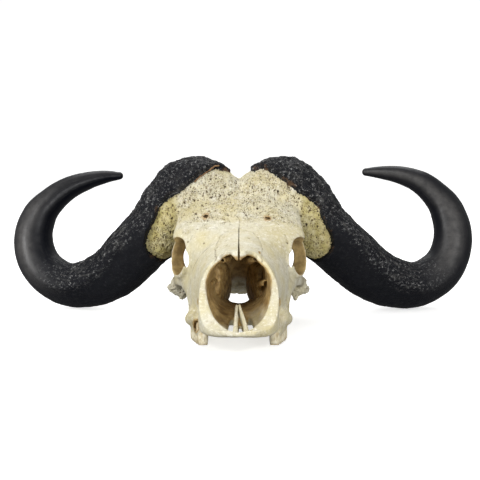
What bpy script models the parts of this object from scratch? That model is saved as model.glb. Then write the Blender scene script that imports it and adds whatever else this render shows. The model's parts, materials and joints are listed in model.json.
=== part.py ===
"""Skull of a Cape buffalo bull with its two horn sheaths, at life size.

The bone is modelled in the skull's own frame, in millimetres: x to the side, y from the tip of the
premaxillae backwards, z up from the chewing plane of the cheek teeth. Tapered lofts are fused into
one skin, hollowed by cutters and parted along the sutures. The whole is then tipped nose up, as it
lies on a table, on its last molars and the two processes beside the condyles.
"""

import math

import bmesh
import bpy
import numpy as np
from mathutils import Matrix, Vector

MM = 0.001

# The driving sizes, in millimetres and degrees.
BONE_VOXEL = 3.5
CUT_VOXEL = 2.6
BONE_TRIANGLES = 7350
SMOOTH_ROUNDS = 5
SUTURE = 0.36
SHEATH_GAP = 0.34
REST_PITCH = 10.0
REST_PIVOT_Y = 258.0
REST_SHIFT = (-0.0094, -0.0290, -0.0012)
FAR = 700.0

# Tooth rows: name, length along the jaw, width across it.
CHEEK_TEETH = (
    ("P2", 17, 15),
    ("P3", 20, 19),
    ("P4", 20, 21),
    ("M1", 25, 24),
    ("M2", 28, 26),
    ("M3", 30, 25),
)
TOOTH_ROW_START = 131.0
TOOTH_ROOT_Z = 30.0
TOOTH_ROW_X = ((125, 55), (160, 60), (200, 66), (240, 70), (275, 70))

# The left horn's line, root to tip: x, y, z, half its width across the curve, half its depth.
HORN_LINE = (
    (8, 404, 246, 46, 46),
    (38, 404, 254, 65, 56),
    (80, 404, 259, 80, 60),
    (106, 403, 247, 80, 61),
    (131, 402, 227, 70, 60),
    (158, 402, 197, 62, 57),
    (184, 404, 173, 57, 53),
    (216, 411, 141, 56, 48),
    (250, 421, 110, 53, 44),
    (296, 433, 89, 48, 42),
    (345, 443, 85, 43.5, 40),
    (388, 450, 107, 42, 38),
    (413, 454, 142, 40.5, 37),
    (420, 457, 186, 38, 35),
    (409, 462, 227, 34, 32.5),
    (388, 467, 255, 28.5, 29),
    (356, 475, 282, 23.8, 25),
    (317, 485, 300, 18.5, 20),
    (281, 495, 309.5, 13.3, 14),
    (253, 502, 312.5, 8.2, 8.6),
)
# The right horn against the left: x and how far out it reaches, then z, x added and z added in its hook.
RIGHT_REACH = ((0, 0.985), (130, 0.985), (184, 1.01), (216, 1.03), (250, 1.045), (420, 1.04))
RIGHT_HOOK = ((142, 0, 0), (186, 2, 2), (228, 4, 7), (257, 6, 11), (284, 8, 13), (301, 8, 12), (313, 5, 8))
RIGHT_BOTTOM = ((200, 1.0), (300, 1.05), (390, 1.04), (420, 1.0))
SIDES = {"left": -1.0, "right": 1.0}
# The prongs of the premaxillae and the slots beside them lean to the right. A slot is x, y, half width.
PRONG_LEAN = 3.2
PALATE_SLOT = ((14.5, 24, 4.0), (16, 45, 5.0), (15.5, 85, 5.0), (14, 126, 3.4))

BONE_COLOUR = (0.80, 0.76, 0.62, 1.0)
FACE_COLOUR = (0.83, 0.80, 0.68, 1.0)
NASAL_COLOUR = (0.85, 0.83, 0.74, 1.0)
HORN_COLOUR = (0.022, 0.021, 0.022, 1.0)


def clear_scene():
    for item in list(bpy.data.objects):
        bpy.data.objects.remove(item, do_unlink=True)


def collection(name, shown=True):
    made = bpy.data.collections.new(name)
    made.hide_render = not shown
    bpy.context.scene.collection.children.link(made)
    return made


def finish_material(name, colour, roughness):
    made = bpy.data.materials.new(name)
    made.use_nodes = True
    shader = made.node_tree.nodes["Principled BSDF"]
    shader.inputs["Base Color"].default_value = colour
    shader.inputs["Roughness"].default_value = roughness
    shader.inputs["Metallic"].default_value = 0.0
    return made


def smooth_rows(rows, steps):
    """Rows of numbers with steps rows for each span between two, on a Catmull-Rom curve."""
    rows = np.array(rows, float)
    ends = np.vstack([2 * rows[0] - rows[1], rows, 2 * rows[-1] - rows[-2]])
    found = []
    for i in range(len(rows) - 1):
        a, b, c, d = ends[i : i + 4]
        for t in np.arange(steps) / steps:
            found.append(
                0.5 * (2 * b + (c - a) * t + (2 * a - 5 * b + 4 * c - d) * t**2
                       + (3 * b - a - 3 * c + d) * t**3)
            )
    found.append(rows[-1])
    return np.array(found)


def value_at(table, at):
    """A number read off a table of pairs by straight lines."""
    return float(np.interp(at, [row[0] for row in table], [row[1] for row in table]))


def mesh_object(name, bm, folder):
    bmesh.ops.recalc_face_normals(bm, faces=bm.faces)
    if bm.calc_volume(signed=True) < 0:
        bmesh.ops.reverse_faces(bm, faces=bm.faces)
    mesh = bpy.data.meshes.new(name)
    bm.to_mesh(mesh)
    bm.free()
    made = bpy.data.objects.new(name, mesh)
    folder.objects.link(made)
    return made


def loft(name, rings, folder):
    """A closed body through rings of points in millimetres, with a flat face at each end."""
    bm = bmesh.new()
    loops = [[bm.verts.new(Vector(point) * MM) for point in ring] for ring in rings]
    for near, far in zip(loops, loops[1:]):
        for k in range(len(near)):
            after = (k + 1) % len(near)
            bm.faces.new((near[k], near[after], far[after], far[k]))
    bm.faces.new(reversed(loops[0]))
    bm.faces.new(loops[-1])
    bmesh.ops.triangulate(bm, faces=[f for f in bm.faces if len(f.verts) > 4])
    return mesh_object(name, bm, folder)


def power(value, exponent):
    return math.copysign(abs(value) ** exponent, value)


def shell(name, stations, folder, sides=40, steps=4):
    """A body along y. A station is y, half width, z of the widest line, top, bottom, and how square
    the upper and the lower half are."""
    rings = []
    for y, width, middle, top, bottom, square_up, square_down in smooth_rows(stations, steps):
        ring = []
        for k in range(sides):
            angle = 2 * math.pi * k / sides
            up = math.sin(angle) >= 0
            square = square_up if up else square_down
            height = top - middle if up else middle - bottom
            ring.append(
                (
                    width * power(math.cos(angle), 2 / square),
                    y,
                    middle + height * power(math.sin(angle), 2 / square),
                )
            )
        rings.append(ring)
    return loft(name, rings, folder)


def bar(name, stations, folder, side=(1, 0, 0), sides=20, steps=4):
    """A tapered bar with round ends. A station is x, y, z, half size towards side, half size across."""
    rows = smooth_rows(stations, steps)
    rows[:, 3:] = np.maximum(rows[:, 3:], 0.5)
    points, sizes = rows[:, :3], rows[:, 3:]
    along = np.gradient(points, axis=0)
    along /= np.linalg.norm(along, axis=1)[:, None]
    spans = list(zip(points, along, sizes))
    first, last = spans[0], spans[-1]
    for tip, direction, where in ((first, -1, 0), (last, 1, len(spans))):
        caps = []
        for angle in (30, 55, 75):
            reach = min(tip[2]) * math.sin(math.radians(angle)) * direction
            caps.append((tip[0] + tip[1] * reach, tip[1], tip[2] * math.cos(math.radians(angle))))
        spans[where:where] = caps[::-1] if direction < 0 else caps
    rings = []
    for point, tangent, (wide, deep) in spans:
        across = np.array(side, float) - tangent * np.dot(side, tangent)
        across /= np.linalg.norm(across)
        over = np.cross(tangent, across)
        ring = []
        for k in range(sides):
            angle = 2 * math.pi * k / sides
            ring.append(point + across * wide * math.cos(angle) + over * deep * math.sin(angle))
        rings.append(ring)
    return loft(name, rings, folder)


def ball(name, centre, radii, folder, turn=0.0):
    """An ellipsoid, turned about the vertical by turn degrees."""
    bm = bmesh.new()
    bmesh.ops.create_uvsphere(bm, u_segments=24, v_segments=16, radius=1.0)
    place = (
        Matrix.Translation(Vector(centre) * MM)
        @ Matrix.Rotation(math.radians(turn), 4, "Z")
        @ Matrix.Diagonal((*[r * MM for r in radii], 1.0))
    )
    bmesh.ops.transform(bm, matrix=place, verts=bm.verts)
    return mesh_object(name, bm, folder)


def cup(name, centre, facing, stations, folder, sides=32, steps=4):
    """Ellipses along a facing direction. A station is the way along it, the half height and half breadth."""
    facing = Vector(facing).normalized()
    up = (Vector((0, 0, 1)) - facing * facing.z).normalized()
    breadth = up.cross(facing)
    rings = []
    for reach, high, broad in smooth_rows(stations, steps):
        middle = Vector(centre) + facing * reach
        rings.append(
            [
                middle
                + up * high * math.sin(2 * math.pi * k / sides)
                + breadth * broad * math.cos(2 * math.pi * k / sides)
                for k in range(sides)
            ]
        )
    return loft(name, rings, folder)


def prism(name, outline, low, high, axis, folder):
    """An outline pushed along x, y or z between two values. The outline gives the other two axes."""
    rings = []
    for level in (low, high):
        ring = []
        for a, b in outline:
            ring.append({"x": (level, a, b), "y": (a, level, b), "z": (a, b, level)}[axis])
        rings.append(ring)
    return loft(name, rings, folder)


def mirrored(thing):
    """A copy on the other side of the skull."""
    twin = thing.copy()
    twin.data = thing.data.copy()
    twin.data.transform(Matrix.Diagonal((-1, 1, 1, 1)))
    twin.data.flip_normals()
    thing.users_collection[0].objects.link(twin)
    return twin


def both(things):
    return [item for thing in things for item in (thing, mirrored(thing))]


def settle(thing):
    """Makes what the modifiers show the object's own mesh."""
    graph = bpy.context.evaluated_depsgraph_get()
    old = thing.data
    thing.data = bpy.data.meshes.new_from_object(thing.evaluated_get(graph))
    thing.modifiers.clear()
    bpy.data.meshes.remove(old)


def join(name, things):
    """One object from several. Bodies that overlap stay separate shells."""
    bm = bmesh.new()
    for thing in things:
        bm.from_mesh(thing.data)
    mesh = bpy.data.meshes.new(name)
    bm.to_mesh(mesh)
    bm.free()
    made = bpy.data.objects.new(name, mesh)
    things[0].users_collection[0].objects.link(made)
    for thing in things:
        bpy.data.objects.remove(thing, do_unlink=True)
    return made


def fuse(name, things, voxel, rounds):
    """Melts overlapping bodies into one skin and evens it."""
    made = join(name, things)
    remesh = made.modifiers.new("Fuse", "REMESH")
    remesh.mode = "VOXEL"
    remesh.voxel_size = voxel * MM
    even = made.modifiers.new("Even", "SMOOTH")
    even.factor = 0.5
    even.iterations = rounds
    settle(made)
    return made


def thin_out(thing, triangles):
    """Fewer triangles, kept where the surface bends."""
    corners = sum(len(p.vertices) - 2 for p in thing.data.polygons)
    fewer = thing.modifiers.new("Fewer", "DECIMATE")
    fewer.ratio = min(1.0, triangles / corners)
    fewer.use_collapse_triangulate = True
    settle(thing)


def boolean(thing, other, operation="DIFFERENCE", keep_other=False, solver="MANIFOLD"):
    """Cuts, joins or crosses two closed bodies."""
    step = thing.modifiers.new("Cut", "BOOLEAN")
    step.operation = operation
    step.object = other
    step.solver = solver
    settle(thing)
    if not keep_other:
        bpy.data.objects.remove(other, do_unlink=True)


def largest_body(thing):
    """Keeps the largest closed surface of an object and drops the scraps."""
    bm = bmesh.new()
    bm.from_mesh(thing.data)
    left = set(bm.verts)
    bodies = []
    while left:
        todo = [left.pop()]
        body = list(todo)
        while todo:
            for edge in todo.pop().link_edges:
                for vertex in edge.verts:
                    if vertex in left:
                        left.remove(vertex)
                        todo.append(vertex)
                        body.append(vertex)
        bodies.append(body)
    bodies.sort(key=len)
    for body in bodies[:-1]:
        bmesh.ops.delete(bm, geom=body, context="VERTS")
    bm.to_mesh(thing.data)
    bm.free()


def face_and_muzzle(folder):
    """The muzzle box, the maxillae and the palate, in one body from the snout to the orbits."""
    box = shell(
        "muzzle",
        (
            (2, 27, 50, 96, 27, 2.4, 4.0),
            (18, 46, 58, 112, 25, 2.4, 5.0),
            (40, 56, 66, 124, 25.5, 2.4, 6.0),
            (65, 60, 74, 134, 26, 2.3, 6.0),
            (95, 61, 80, 142, 27.5, 2.2, 4.6),
            (125, 63, 84, 150, 31, 2.1, 3.0),
            (160, 70, 82, 158, 29, 2.1, 3.2),
            (195, 78, 82, 169, 27, 2.1, 3.6),
            (230, 85, 90, 181, 27, 2.2, 3.4),
            (262, 88, 104, 190, 30, 2.3, 2.8),
            (292, 62, 110, 190, 42, 2.4, 2.6),
        ),
        folder,
    )
    nasal_roof = shell(
        "nasal_roof",
        (
            (96, 34, 128, 134, 122, 2.2, 2.2),
            (112, 36, 131, 139, 124, 2.2, 2.2),
            (140, 37, 138, 149.5, 126, 2.2, 2.2),
            (180, 38, 146, 164, 130, 2.2, 2.2),
            (225, 46, 156, 181, 136, 2.2, 2.2),
            (262, 60, 168, 193, 145, 2.2, 2.2),
        ),
        folder,
    )
    return [box, nasal_roof]


def cheek(folder):
    """The facial tuber, the crest behind it, the bone round the tooth row and the arch of the cheek."""
    crest = bar(
        "crest",
        (
            (73, 164, 44, 10, 12),
            (80, 184, 37, 10, 10),
            (74, 210, 46, 12, 15),
            (75, 238, 64, 14, 22),
            (81, 262, 86, 15, 24),
            (98, 290, 98, 10, 15),
        ),
        folder,
    )
    sockets = bar(
        "tooth_sockets",
        (
            (54, 128, 34, 9, 10),
            (60, 160, 30, 13, 16),
            (66, 200, 29, 16, 19),
            (69, 240, 30, 17, 21),
            (66, 272, 34, 15, 20),
            (59, 288, 42, 10, 14),
        ),
        folder,
    )
    arch = bar(
        "arch",
        (
            (98, 288, 98, 7, 13),
            (108, 312, 98, 6, 12),
            (114, 338, 97, 6, 11),
            (118, 362, 95, 7, 11),
            (119, 388, 92, 9, 13),
        ),
        folder,
    )
    shelf = bar(
        "jaw_joint_shelf",
        (
            (56, 368, 104, 15, 14),
            (84, 366, 97, 18, 9),
            (112, 366, 94, 16, 8),
        ),
        folder,
        side=(0, 1, 0),
    )
    return [crest, sockets, arch, shelf]


ORBIT_CENTRE = (104, 275, 141)
ORBIT_FACING = (0.87, -0.47, 0.10)


def orbit_wall(folder):
    """The bony cup round the eye, with its raised rim."""
    return [
        cup(
            "orbit_wall",
            ORBIT_CENTRE,
            ORBIT_FACING,
            (
                (5, 38, 34.5),
                (0, 40, 36),
                (-14, 39.5, 36.5),
                (-34, 36, 35),
                (-52, 30, 30),
            ),
            folder,
        )
    ]


def forehead(folder):
    """The broad dome of the frontal bones, from between the eyes to the crown."""
    return [
        shell(
            "forehead",
            (
                (222, 62, 140, 178, 110, 2.2, 2.2),
                (250, 92, 156, 189, 122, 2.2, 2.2),
                (278, 118, 171, 202, 146, 2.3, 2.2),
                (308, 118, 190, 220, 160, 2.4, 2.2),
                (340, 115, 214, 244, 178, 2.4, 2.2),
                (370, 112, 236, 268, 186, 2.4, 2.2),
                (398, 98, 248, 289, 190, 2.3, 2.2),
                (420, 76, 250, 297, 196, 2.2, 2.2),
                (438, 54, 246, 286, 200, 2.2, 2.2),
            ),
            folder,
        )
    ]


def braincase(folder):
    """The braincase, the skull base and the plate of the occiput."""
    case = shell(
        "braincase",
        (
            (270, 44, 128, 182, 92, 2.3, 2.3),
            (305, 54, 138, 200, 90, 2.3, 2.3),
            (345, 64, 150, 226, 88, 2.3, 2.3),
            (385, 70, 155, 250, 84, 2.4, 2.4),
            (420, 78, 160, 262, 80, 2.6, 2.6),
            (440, 72, 165, 258, 84, 2.6, 2.6),
        ),
        folder,
    )
    occiput = shell(
        "occiput",
        (
            (408, 86, 150, 276, 78, 2.8, 2.6),
            (428, 92, 150, 282, 74, 2.8, 2.6),
            (446, 84, 150, 272, 80, 2.6, 2.4),
            (452, 66, 150, 250, 92, 2.4, 2.4),
        ),
        folder,
    )
    base = bar(
        "skull_base",
        (
            (0, 300, 98, 20, 14),
            (0, 350, 92, 24, 12),
            (0, 400, 88, 27, 12),
            (0, 446, 88, 30, 12),
        ),
        folder,
    )
    return [case, occiput, base]


def back_of_skull(folder):
    """On one side: the mastoid wing, the condyle, the process beside it and the ear capsule."""
    wing = bar(
        "mastoid_wing",
        (
            (84, 414, 100, 20, 26),
            (104, 402, 92, 15, 25),
            (122, 394, 82, 11, 19),
            (133, 390, 78, 7, 9),
        ),
        folder,
        side=(0, 1, 0),
    )
    wing_foot = bar(
        "wing_foot",
        ((104, 400, 84, 12, 12), (110, 398, 70, 10, 9), (112, 398, 60, 8, 6)),
        folder,
    )
    condyle = ball("condyle", (31, 456, 88), (20, 19, 27), folder, turn=-18)
    process = bar(
        "process",
        (
            (64, 420, 92, 17, 16),
            (62, 428, 68, 12, 15),
            (59, 432, 46, 8, 12),
            (56, 434, 27, 5.5, 9),
        ),
        folder,
    )
    capsule = ball("ear_capsule", (48, 388, 76), (13, 22, 16), folder)
    ear_tube = bar("ear_tube", ((60, 390, 92, 12, 12), (100, 394, 98, 9, 9)), folder, side=(0, 1, 0))
    return [wing, wing_foot, condyle, process, capsule, ear_tube]


def pterygoid(folder):
    """The thin upright plate beside the inner nostril, from the palate to the skull base."""
    return [
        bar(
            "pterygoid",
            (
                (26, 268, 74, 5, 24),
                (25, 295, 74, 4.5, 28),
                (25, 322, 78, 4.5, 24),
                (26, 345, 84, 5, 14),
            ),
            folder,
        )
    ]


def horn_core(folder):
    """The bony root of the horn, which shows on the forehead where the sheath ends."""
    return [
        bar(
            "horn_core",
            (
                (12, 404, 256, 38, 42),
                (44, 404, 262, 47, 57),
                (80, 404, 257, 50, 67),
                (120, 401, 228, 49, 66),
                (148, 399, 196, 46, 56),
                (160, 398, 173, 38, 42),
            ),
            folder,
            side=(0, -1, 0),
            sides=28,
        )
    ]


def premaxilla_prongs(folder):
    """The inner prongs of the premaxillae, which rise back to meet over the floor of the nose."""
    line = ((8, 14, 30, 4.2, 5), (7.5, 40, 36, 4, 7), (5, 75, 46, 3.6, 9), (2.4, 112, 56, 3.2, 10))
    return [
        bar("prong", [(PRONG_LEAN * (1 - y / 220) + side * x, y, z, a, b) for x, y, z, a, b in line], folder)
        for side in SIDES.values()
    ]


def wide_hollows(folder):
    """The slope of the open nose, the nose itself, the eye cups and the hollows of the temples."""
    slope = prism(
        "nose_slope",
        (
            (-40, 36), (10, 36), (25, 41), (40, 52), (55, 66), (85, 95), (100, 112), (114, 128), (122, 140),
            (126, 150), (126, 180), (-40, 180),
        ),
        -90,
        90,
        "x",
        folder,
    )
    nose = shell(
        "nose",
        (
            (-20, 20, 70, 120, 37, 2.4, 2.6),
            (16, 24, 72, 124, 32, 2.4, 3.0),
            (40, 37, 76, 128, 31, 2.4, 3.0),
            (70, 47, 84, 132, 31, 2.4, 2.8),
            (100, 49.5, 92, 136, 35, 2.3, 2.5),
            (125, 48, 96, 140.5, 42, 2.2, 2.3),
            (150, 47, 98, 147.5, 48, 2.2, 2.2),
            (200, 42, 98, 160, 56, 2.2, 2.4),
            (245, 32, 90, 150, 59, 2.4, 2.6),
            (280, 21, 78, 112, 57, 2.5, 2.8),
            (310, 20, 66, 92, 40, 2.5, 2.6),
            (360, 19, 50, 70, 16, 2.5, 2.5),
            (400, 19, 30, 40, 0, 2.5, 2.5),
        ),
        folder,
        sides=32,
    )
    eye = cup(
        "eye",
        ORBIT_CENTRE,
        ORBIT_FACING,
        ((30, 36, 33), (6, 33.5, 30.5), (0, 32.5, 30), (-16, 32, 30.5), (-34, 27, 27), (-48, 17, 17)),
        folder,
        sides=28,
    )
    temple = bar(
        "temple",
        (
            (84, 304, 137, 15, 26),
            (86, 330, 140, 19, 30),
            (88, 365, 142, 18, 30),
            (98, 410, 138, 17, 22),
            (106, 470, 138, 20, 20),
        ),
        folder,
    )
    return [slope, nose] + both([eye, temple])


def nasal_tongue(folder):
    """The free ends of the two nasal bones, which hang forward over the nose between two notches."""
    return [
        bar(
            "tongue",
            ((0, 150, 149, 16, 3), (0, 134, 144.5, 14, 3.2), (0, 121, 140.5, 10, 3), (0, 110, 136.5, 5, 2.6)),
            folder,
        )
    ]


def small_holes(folder):
    """The holes for nerves and for the spine, the slots of the palate and the gap between its prongs."""
    sided = [
        bar("brow_hole", ((57, 318, 225, 3.6, 3.6), (56, 334, 200, 3.4, 3.4)), folder, sides=10),
        bar("cheek_hole", ((80, 128, 68, 5, 4.5), (58, 152, 66, 5, 4.5)), folder, side=(0, 0, 1), sides=10),
        bar("ear_hole", ((125, 394, 101, 4.4, 4.4), (92, 392, 98, 4, 4)), folder, side=(0, 0, 1), sides=10),
    ]
    spine = bar("spine_hole", ((0, 500, 112, 19, 17), (0, 400, 116, 18, 16)), folder, sides=20)
    gap = bar(
        "prong_gap", ((PRONG_LEAN, 22, 30, 2.6, 14), (PRONG_LEAN, 60, 30, 3.3, 14), (2, 104, 30, 2, 14)), folder
    )
    slots = [
        bar("palate_slot", [(PRONG_LEAN + side * x, y, 30, half, 14) for x, y, half in PALATE_SLOT], folder)
        for side in SIDES.values()
    ]
    return both(sided) + slots + [spine, gap]


def tooth_row(folder, side):
    """The six cheek teeth of one side, each a crown with lobes on its outer face."""
    made = []
    front = TOOTH_ROW_START
    for name, length, width in CHEEK_TEETH:
        middle = front + length / 2
        lobes = 2 if name.startswith("M") else 1
        outline = []
        for k in range(14):
            angle = 2 * math.pi * k / 14
            lobed = 1 + 0.07 * math.cos(2 * lobes * angle) * (1 if math.cos(angle) > 0 else 0.5)
            outline.append((0.5 * width * lobed * math.cos(angle), 0.52 * length * power(math.sin(angle), 0.6)))
        rings = []
        for z, size in ((TOOTH_ROOT_Z, 0.86), (14, 1.0), (3, 0.98), (0, 0.9)):
            centre = value_at(TOOTH_ROW_X, middle)
            rings.append([(side * (centre + a * size), middle + b * size, z) for a, b in outline])
        made.append(loft(f"{name}_crown", rings, folder))
        front += length - 0.6
    return made


NASAL_HALF_WIDTH = ((90, 37), (130, 36.5), (160, 33), (195, 28), (225, 21), (248, 12), (262, 4))
NASAL_FLOOR = ((90, 122), (110, 126.5), (140, 138), (180, 152), (225, 169), (262, 184))
NASAL_SLIT = ((100, 1.5), (130, 1.2), (180, 0.6), (215, 0.25), (262, 0.2))
PREMAXILLA_PROFILE = ((-60, -40), (86, -40), (90, 44), (104, 78), (128, 116), (134, 160), (-60, 160))
CHEEKBONE_PROFILE = (
    (208, 56), (246, 62), (290, 74), (344, 82), (338, 116), (318, 136), (296, 134), (262, 132), (240, 124), (218, 96),
)
MAXILLA_PROFILE = (
    (-60, -60), (312, -60), (308, 40), (296, 60), (262, 66), (232, 66), (224, 110), (206, 190), (206, 260), (-60, 260),
)
TEMPORAL_PROFILE = ((344, -40), (344, 82), (338, 116), (338, 134), (480, 134), (480, -40))
TEMPORAL_INNER = 74.0
PTERYGOID_PROFILE = ((312, -40), (308, 40), (296, 60), (290, 61), (290, 86), (360, 86), (360, -40))
PTERYGOID_SPAN = (10.0, 46.0)


def nasal_block(grow, folder, side=None):
    """The space of the nasal bones, or of one of them, drawn in by a negative grow."""
    rings = []
    for y in (84 - grow, 110, 130, 160, 195, 225, 248, 262 + grow):
        wide = value_at(NASAL_HALF_WIDTH, y) + grow
        low = value_at(NASAL_FLOOR, y) - grow
        inner = -wide if side is None else value_at(NASAL_SLIT, y)
        ends = (inner, wide) if side is None or side > 0 else (-wide, -inner)
        rings.append([(ends[0], y, low), (ends[1], y, low), (ends[1], y, low + 80), (ends[0], y, low + 80)])
    return loft("nasal_block", rings, folder)


def drawn_in(outline, by):
    """An outline moved inwards by a distance, corner by corner."""
    points = [Vector(point) for point in outline]
    area = sum(a.cross(b) for a, b in zip(points, points[1:] + points[:1]))
    turn = 1.0 if area > 0 else -1.0
    found = []
    for i, point in enumerate(points):
        before = (point - points[i - 1]).normalized()
        after = (points[(i + 1) % len(points)] - point).normalized()
        inward = Vector((-before.y - after.y, before.x + after.x)) * turn
        inward.normalize()
        corner = max(0.35, inward.dot(Vector((-before.y, before.x)) * turn))
        found.append(tuple(point + inward * (by / corner)))
    return found


def half_of(inner, side, middle=0.0):
    """The range of x for one side of the skull, from a distance beside the middle outwards."""
    return (middle + inner, FAR) if side > 0 else (-FAR, middle - inner)


def part_bone(bone, folder, parts):
    """Parts the whole skull along its sutures and returns the named bones."""
    made = {}

    def take(name, blocks):
        piece = bone.copy()
        piece.data = bone.data.copy()
        piece.name = piece.data.name = name
        parts.objects.link(piece)
        for block in blocks:
            boolean(piece, block, "INTERSECT")
        largest_body(piece)
        made[name] = piece

    for side_name, side in SIDES.items():
        take(f"nasal_{side_name}", [nasal_block(-SUTURE, folder, side)])
    boolean(bone, nasal_block(0.0, folder))
    for side_name, side in SIDES.items():
        outline = drawn_in(PREMAXILLA_PROFILE, SUTURE)
        span = half_of(SUTURE / 2, side, PRONG_LEAN)
        take(f"premaxilla_{side_name}", [prism("block", outline, *span, "x", folder)])
    boolean(bone, prism("block", PREMAXILLA_PROFILE, -FAR, FAR, "x", folder))
    for side_name, side in SIDES.items():
        outline = drawn_in(CHEEKBONE_PROFILE, SUTURE)
        take(f"zygomatic_{side_name}", [prism("block", outline, *half_of(66 + SUTURE, side), "x", folder)])
    for side in SIDES.values():
        boolean(bone, prism("block", CHEEKBONE_PROFILE, *half_of(66, side), "x", folder))
    for side_name, side in SIDES.items():
        outline = drawn_in(MAXILLA_PROFILE, SUTURE)
        name = f"maxilla_{side_name}"
        take(name, [prism("block", outline, *half_of(SUTURE / 2, side), "x", folder)])
        for crown in tooth_row(folder, side):
            boolean(made[name], crown, "UNION")
        largest_body(made[name])
    boolean(bone, prism("block", MAXILLA_PROFILE, -FAR, FAR, "x", folder))
    for side_name, side in SIDES.items():
        outline = drawn_in(TEMPORAL_PROFILE, SUTURE)
        span = half_of(TEMPORAL_INNER + SUTURE, side)
        take(f"temporal_{side_name}", [prism("block", outline, *span, "x", folder)])
        outline = drawn_in(PTERYGOID_PROFILE, SUTURE)
        near, far = PTERYGOID_SPAN
        span = sorted((side * (near + SUTURE), side * (far - SUTURE)))
        take(f"pterygoid_{side_name}", [prism("block", outline, *span, "x", folder)])
    for side in SIDES.values():
        boolean(bone, prism("block", TEMPORAL_PROFILE, *half_of(TEMPORAL_INNER, side), "x", folder))
        span = sorted(side * edge for edge in PTERYGOID_SPAN)
        boolean(bone, prism("block", PTERYGOID_PROFILE, *span, "x", folder))
    largest_body(bone)
    made["cranium"] = bone
    return made


WINDOW_EDGE = (
    (-30, 304), (18, 311), (47, 321), (80, 299), (108, 273), (133, 258), (153, 240), (163, 213), (176, 184),
    (180, 162), (169, 141), (152, 133), (120, 134), (-30, 134),
)
COLLAR_EDGE = ((-60, 420), (14, 420), (14, 312), (58, 286), (94, 215), (112, 128), (90, 40), (-60, 40))


def right_horn_row(row, at):
    """A row of the horn's line as it is on the right, where the hook begins at the line's 12th row."""
    x, y, z, deep, across = row
    reach = value_at(RIGHT_REACH, x)
    if at < 12:
        return (x * reach, y, z, deep, across * value_at(RIGHT_BOTTOM, x))
    out = value_at([(height, more) for height, more, _ in RIGHT_HOOK], z)
    up = value_at([(height, more) for height, _, more in RIGHT_HOOK], z)
    return (x * reach + out, y, z + up, deep, across)


def horn(name, bone, folder, parts):
    """The sheath of one horn, a solid that sits over the bony root with a hair's gap."""
    side = SIDES[name]
    line = [(x, y, z, deep, across) for x, y, z, across, deep in HORN_LINE]
    if side > 0:
        line = [right_horn_row(row, at) for at, row in enumerate(line)]
    sheath = bar(
        f"horn_{name}",
        line,
        folder,
        side=(0, -1, 0),
        sides=20,
        steps=2,
    )
    boolean(sheath, prism("window", WINDOW_EDGE, 200, 402, "y", folder))
    boolean(sheath, prism("collar", COLLAR_EDGE, 200, 600, "y", folder))
    if side < 0:
        sheath.data.transform(Matrix.Diagonal((-1, 1, 1, 1)))
        sheath.data.flip_normals()
    boolean(sheath, bone, keep_other=True)
    largest_body(sheath)
    folder.objects.unlink(sheath)
    parts.objects.link(sheath)
    return sheath


def lay_down(pieces, folder):
    """Tips the skull nose up, sets it down over the origin and trims its feet to the floor."""
    pivot = Vector((0, REST_PIVOT_Y, 0)) * MM
    turn = Matrix.Rotation(math.radians(-REST_PITCH), 4, "X")
    lay = Matrix.Translation(Vector(REST_SHIFT)) @ turn @ Matrix.Translation(-pivot)
    for piece in pieces:
        piece.data.transform(lay)
        if piece.name.startswith(("maxilla", "cranium", "temporal", "pterygoid")):
            ground = ((-FAR, -FAR), (FAR, -FAR), (FAR, FAR), (-FAR, FAR))
            boolean(piece, prism("ground", ground, -FAR, 0, "z", folder))
            largest_body(piece)


def main():
    clear_scene()
    helpers = collection("helpers", shown=False)
    parts = collection("buffalo_skull")
    central = face_and_muzzle(helpers) + forehead(helpers) + braincase(helpers)
    sided = cheek(helpers) + orbit_wall(helpers) + back_of_skull(helpers)
    sided += pterygoid(helpers) + horn_core(helpers)
    bone = fuse("bone", central + both(sided), BONE_VOXEL, SMOOTH_ROUNDS)
    hollows = fuse("hollows", wide_hollows(helpers) + small_holes(helpers), CUT_VOXEL, 2)
    boolean(bone, hollows, solver="EXACT")
    added = premaxilla_prongs(helpers) + nasal_tongue(helpers)
    bone = fuse("cranium", [bone] + added, CUT_VOXEL, 2)
    largest_body(bone)
    thin_out(bone, BONE_TRIANGLES)
    swollen = bone.copy()
    swollen.data = bone.data.copy()
    helpers.objects.link(swollen)
    swell = swollen.modifiers.new("Gap", "DISPLACE")
    swell.strength = SHEATH_GAP * MM
    swell.mid_level = 0.0
    settle(swollen)
    horns = [horn(name, swollen, helpers, parts) for name in SIDES]
    helpers.objects.unlink(bone)
    parts.objects.link(bone)
    bones = part_bone(bone, helpers, parts)
    lay_down(list(bones.values()) + horns, helpers)
    dry = finish_material("old_bone", BONE_COLOUR, 0.7)
    face = finish_material("face_bone", FACE_COLOUR, 0.65)
    nasal = finish_material("nasal_bone", NASAL_COLOUR, 0.6)
    black = finish_material("horn_sheath", HORN_COLOUR, 0.5)
    for name, piece in bones.items():
        piece.data.materials.clear()
        old = name.startswith(("cranium", "temporal", "pterygoid"))
        piece.data.materials.append(dry if old else nasal if name.startswith("nasal") else face)
    for piece in horns:
        piece.data.materials.clear()
        piece.data.materials.append(black)
    for helper in list(helpers.objects):
        bpy.data.objects.remove(helper, do_unlink=True)


main()
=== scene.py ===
"""Cape buffalo skull, dressed: aged bone, black horn sheaths, worn cheek teeth and scrolls in the nose.

The forms use the same measures as the solids, in millimetres: x to the picture's right, y back from
the tip of the snout and z up from the chewing plane, until the skull is laid down at the end.
"""

import json
import math

import bmesh
import bpy
import numpy as np
from mathutils import Matrix, Vector, noise
from mathutils.bvhtree import BVHTree

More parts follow.
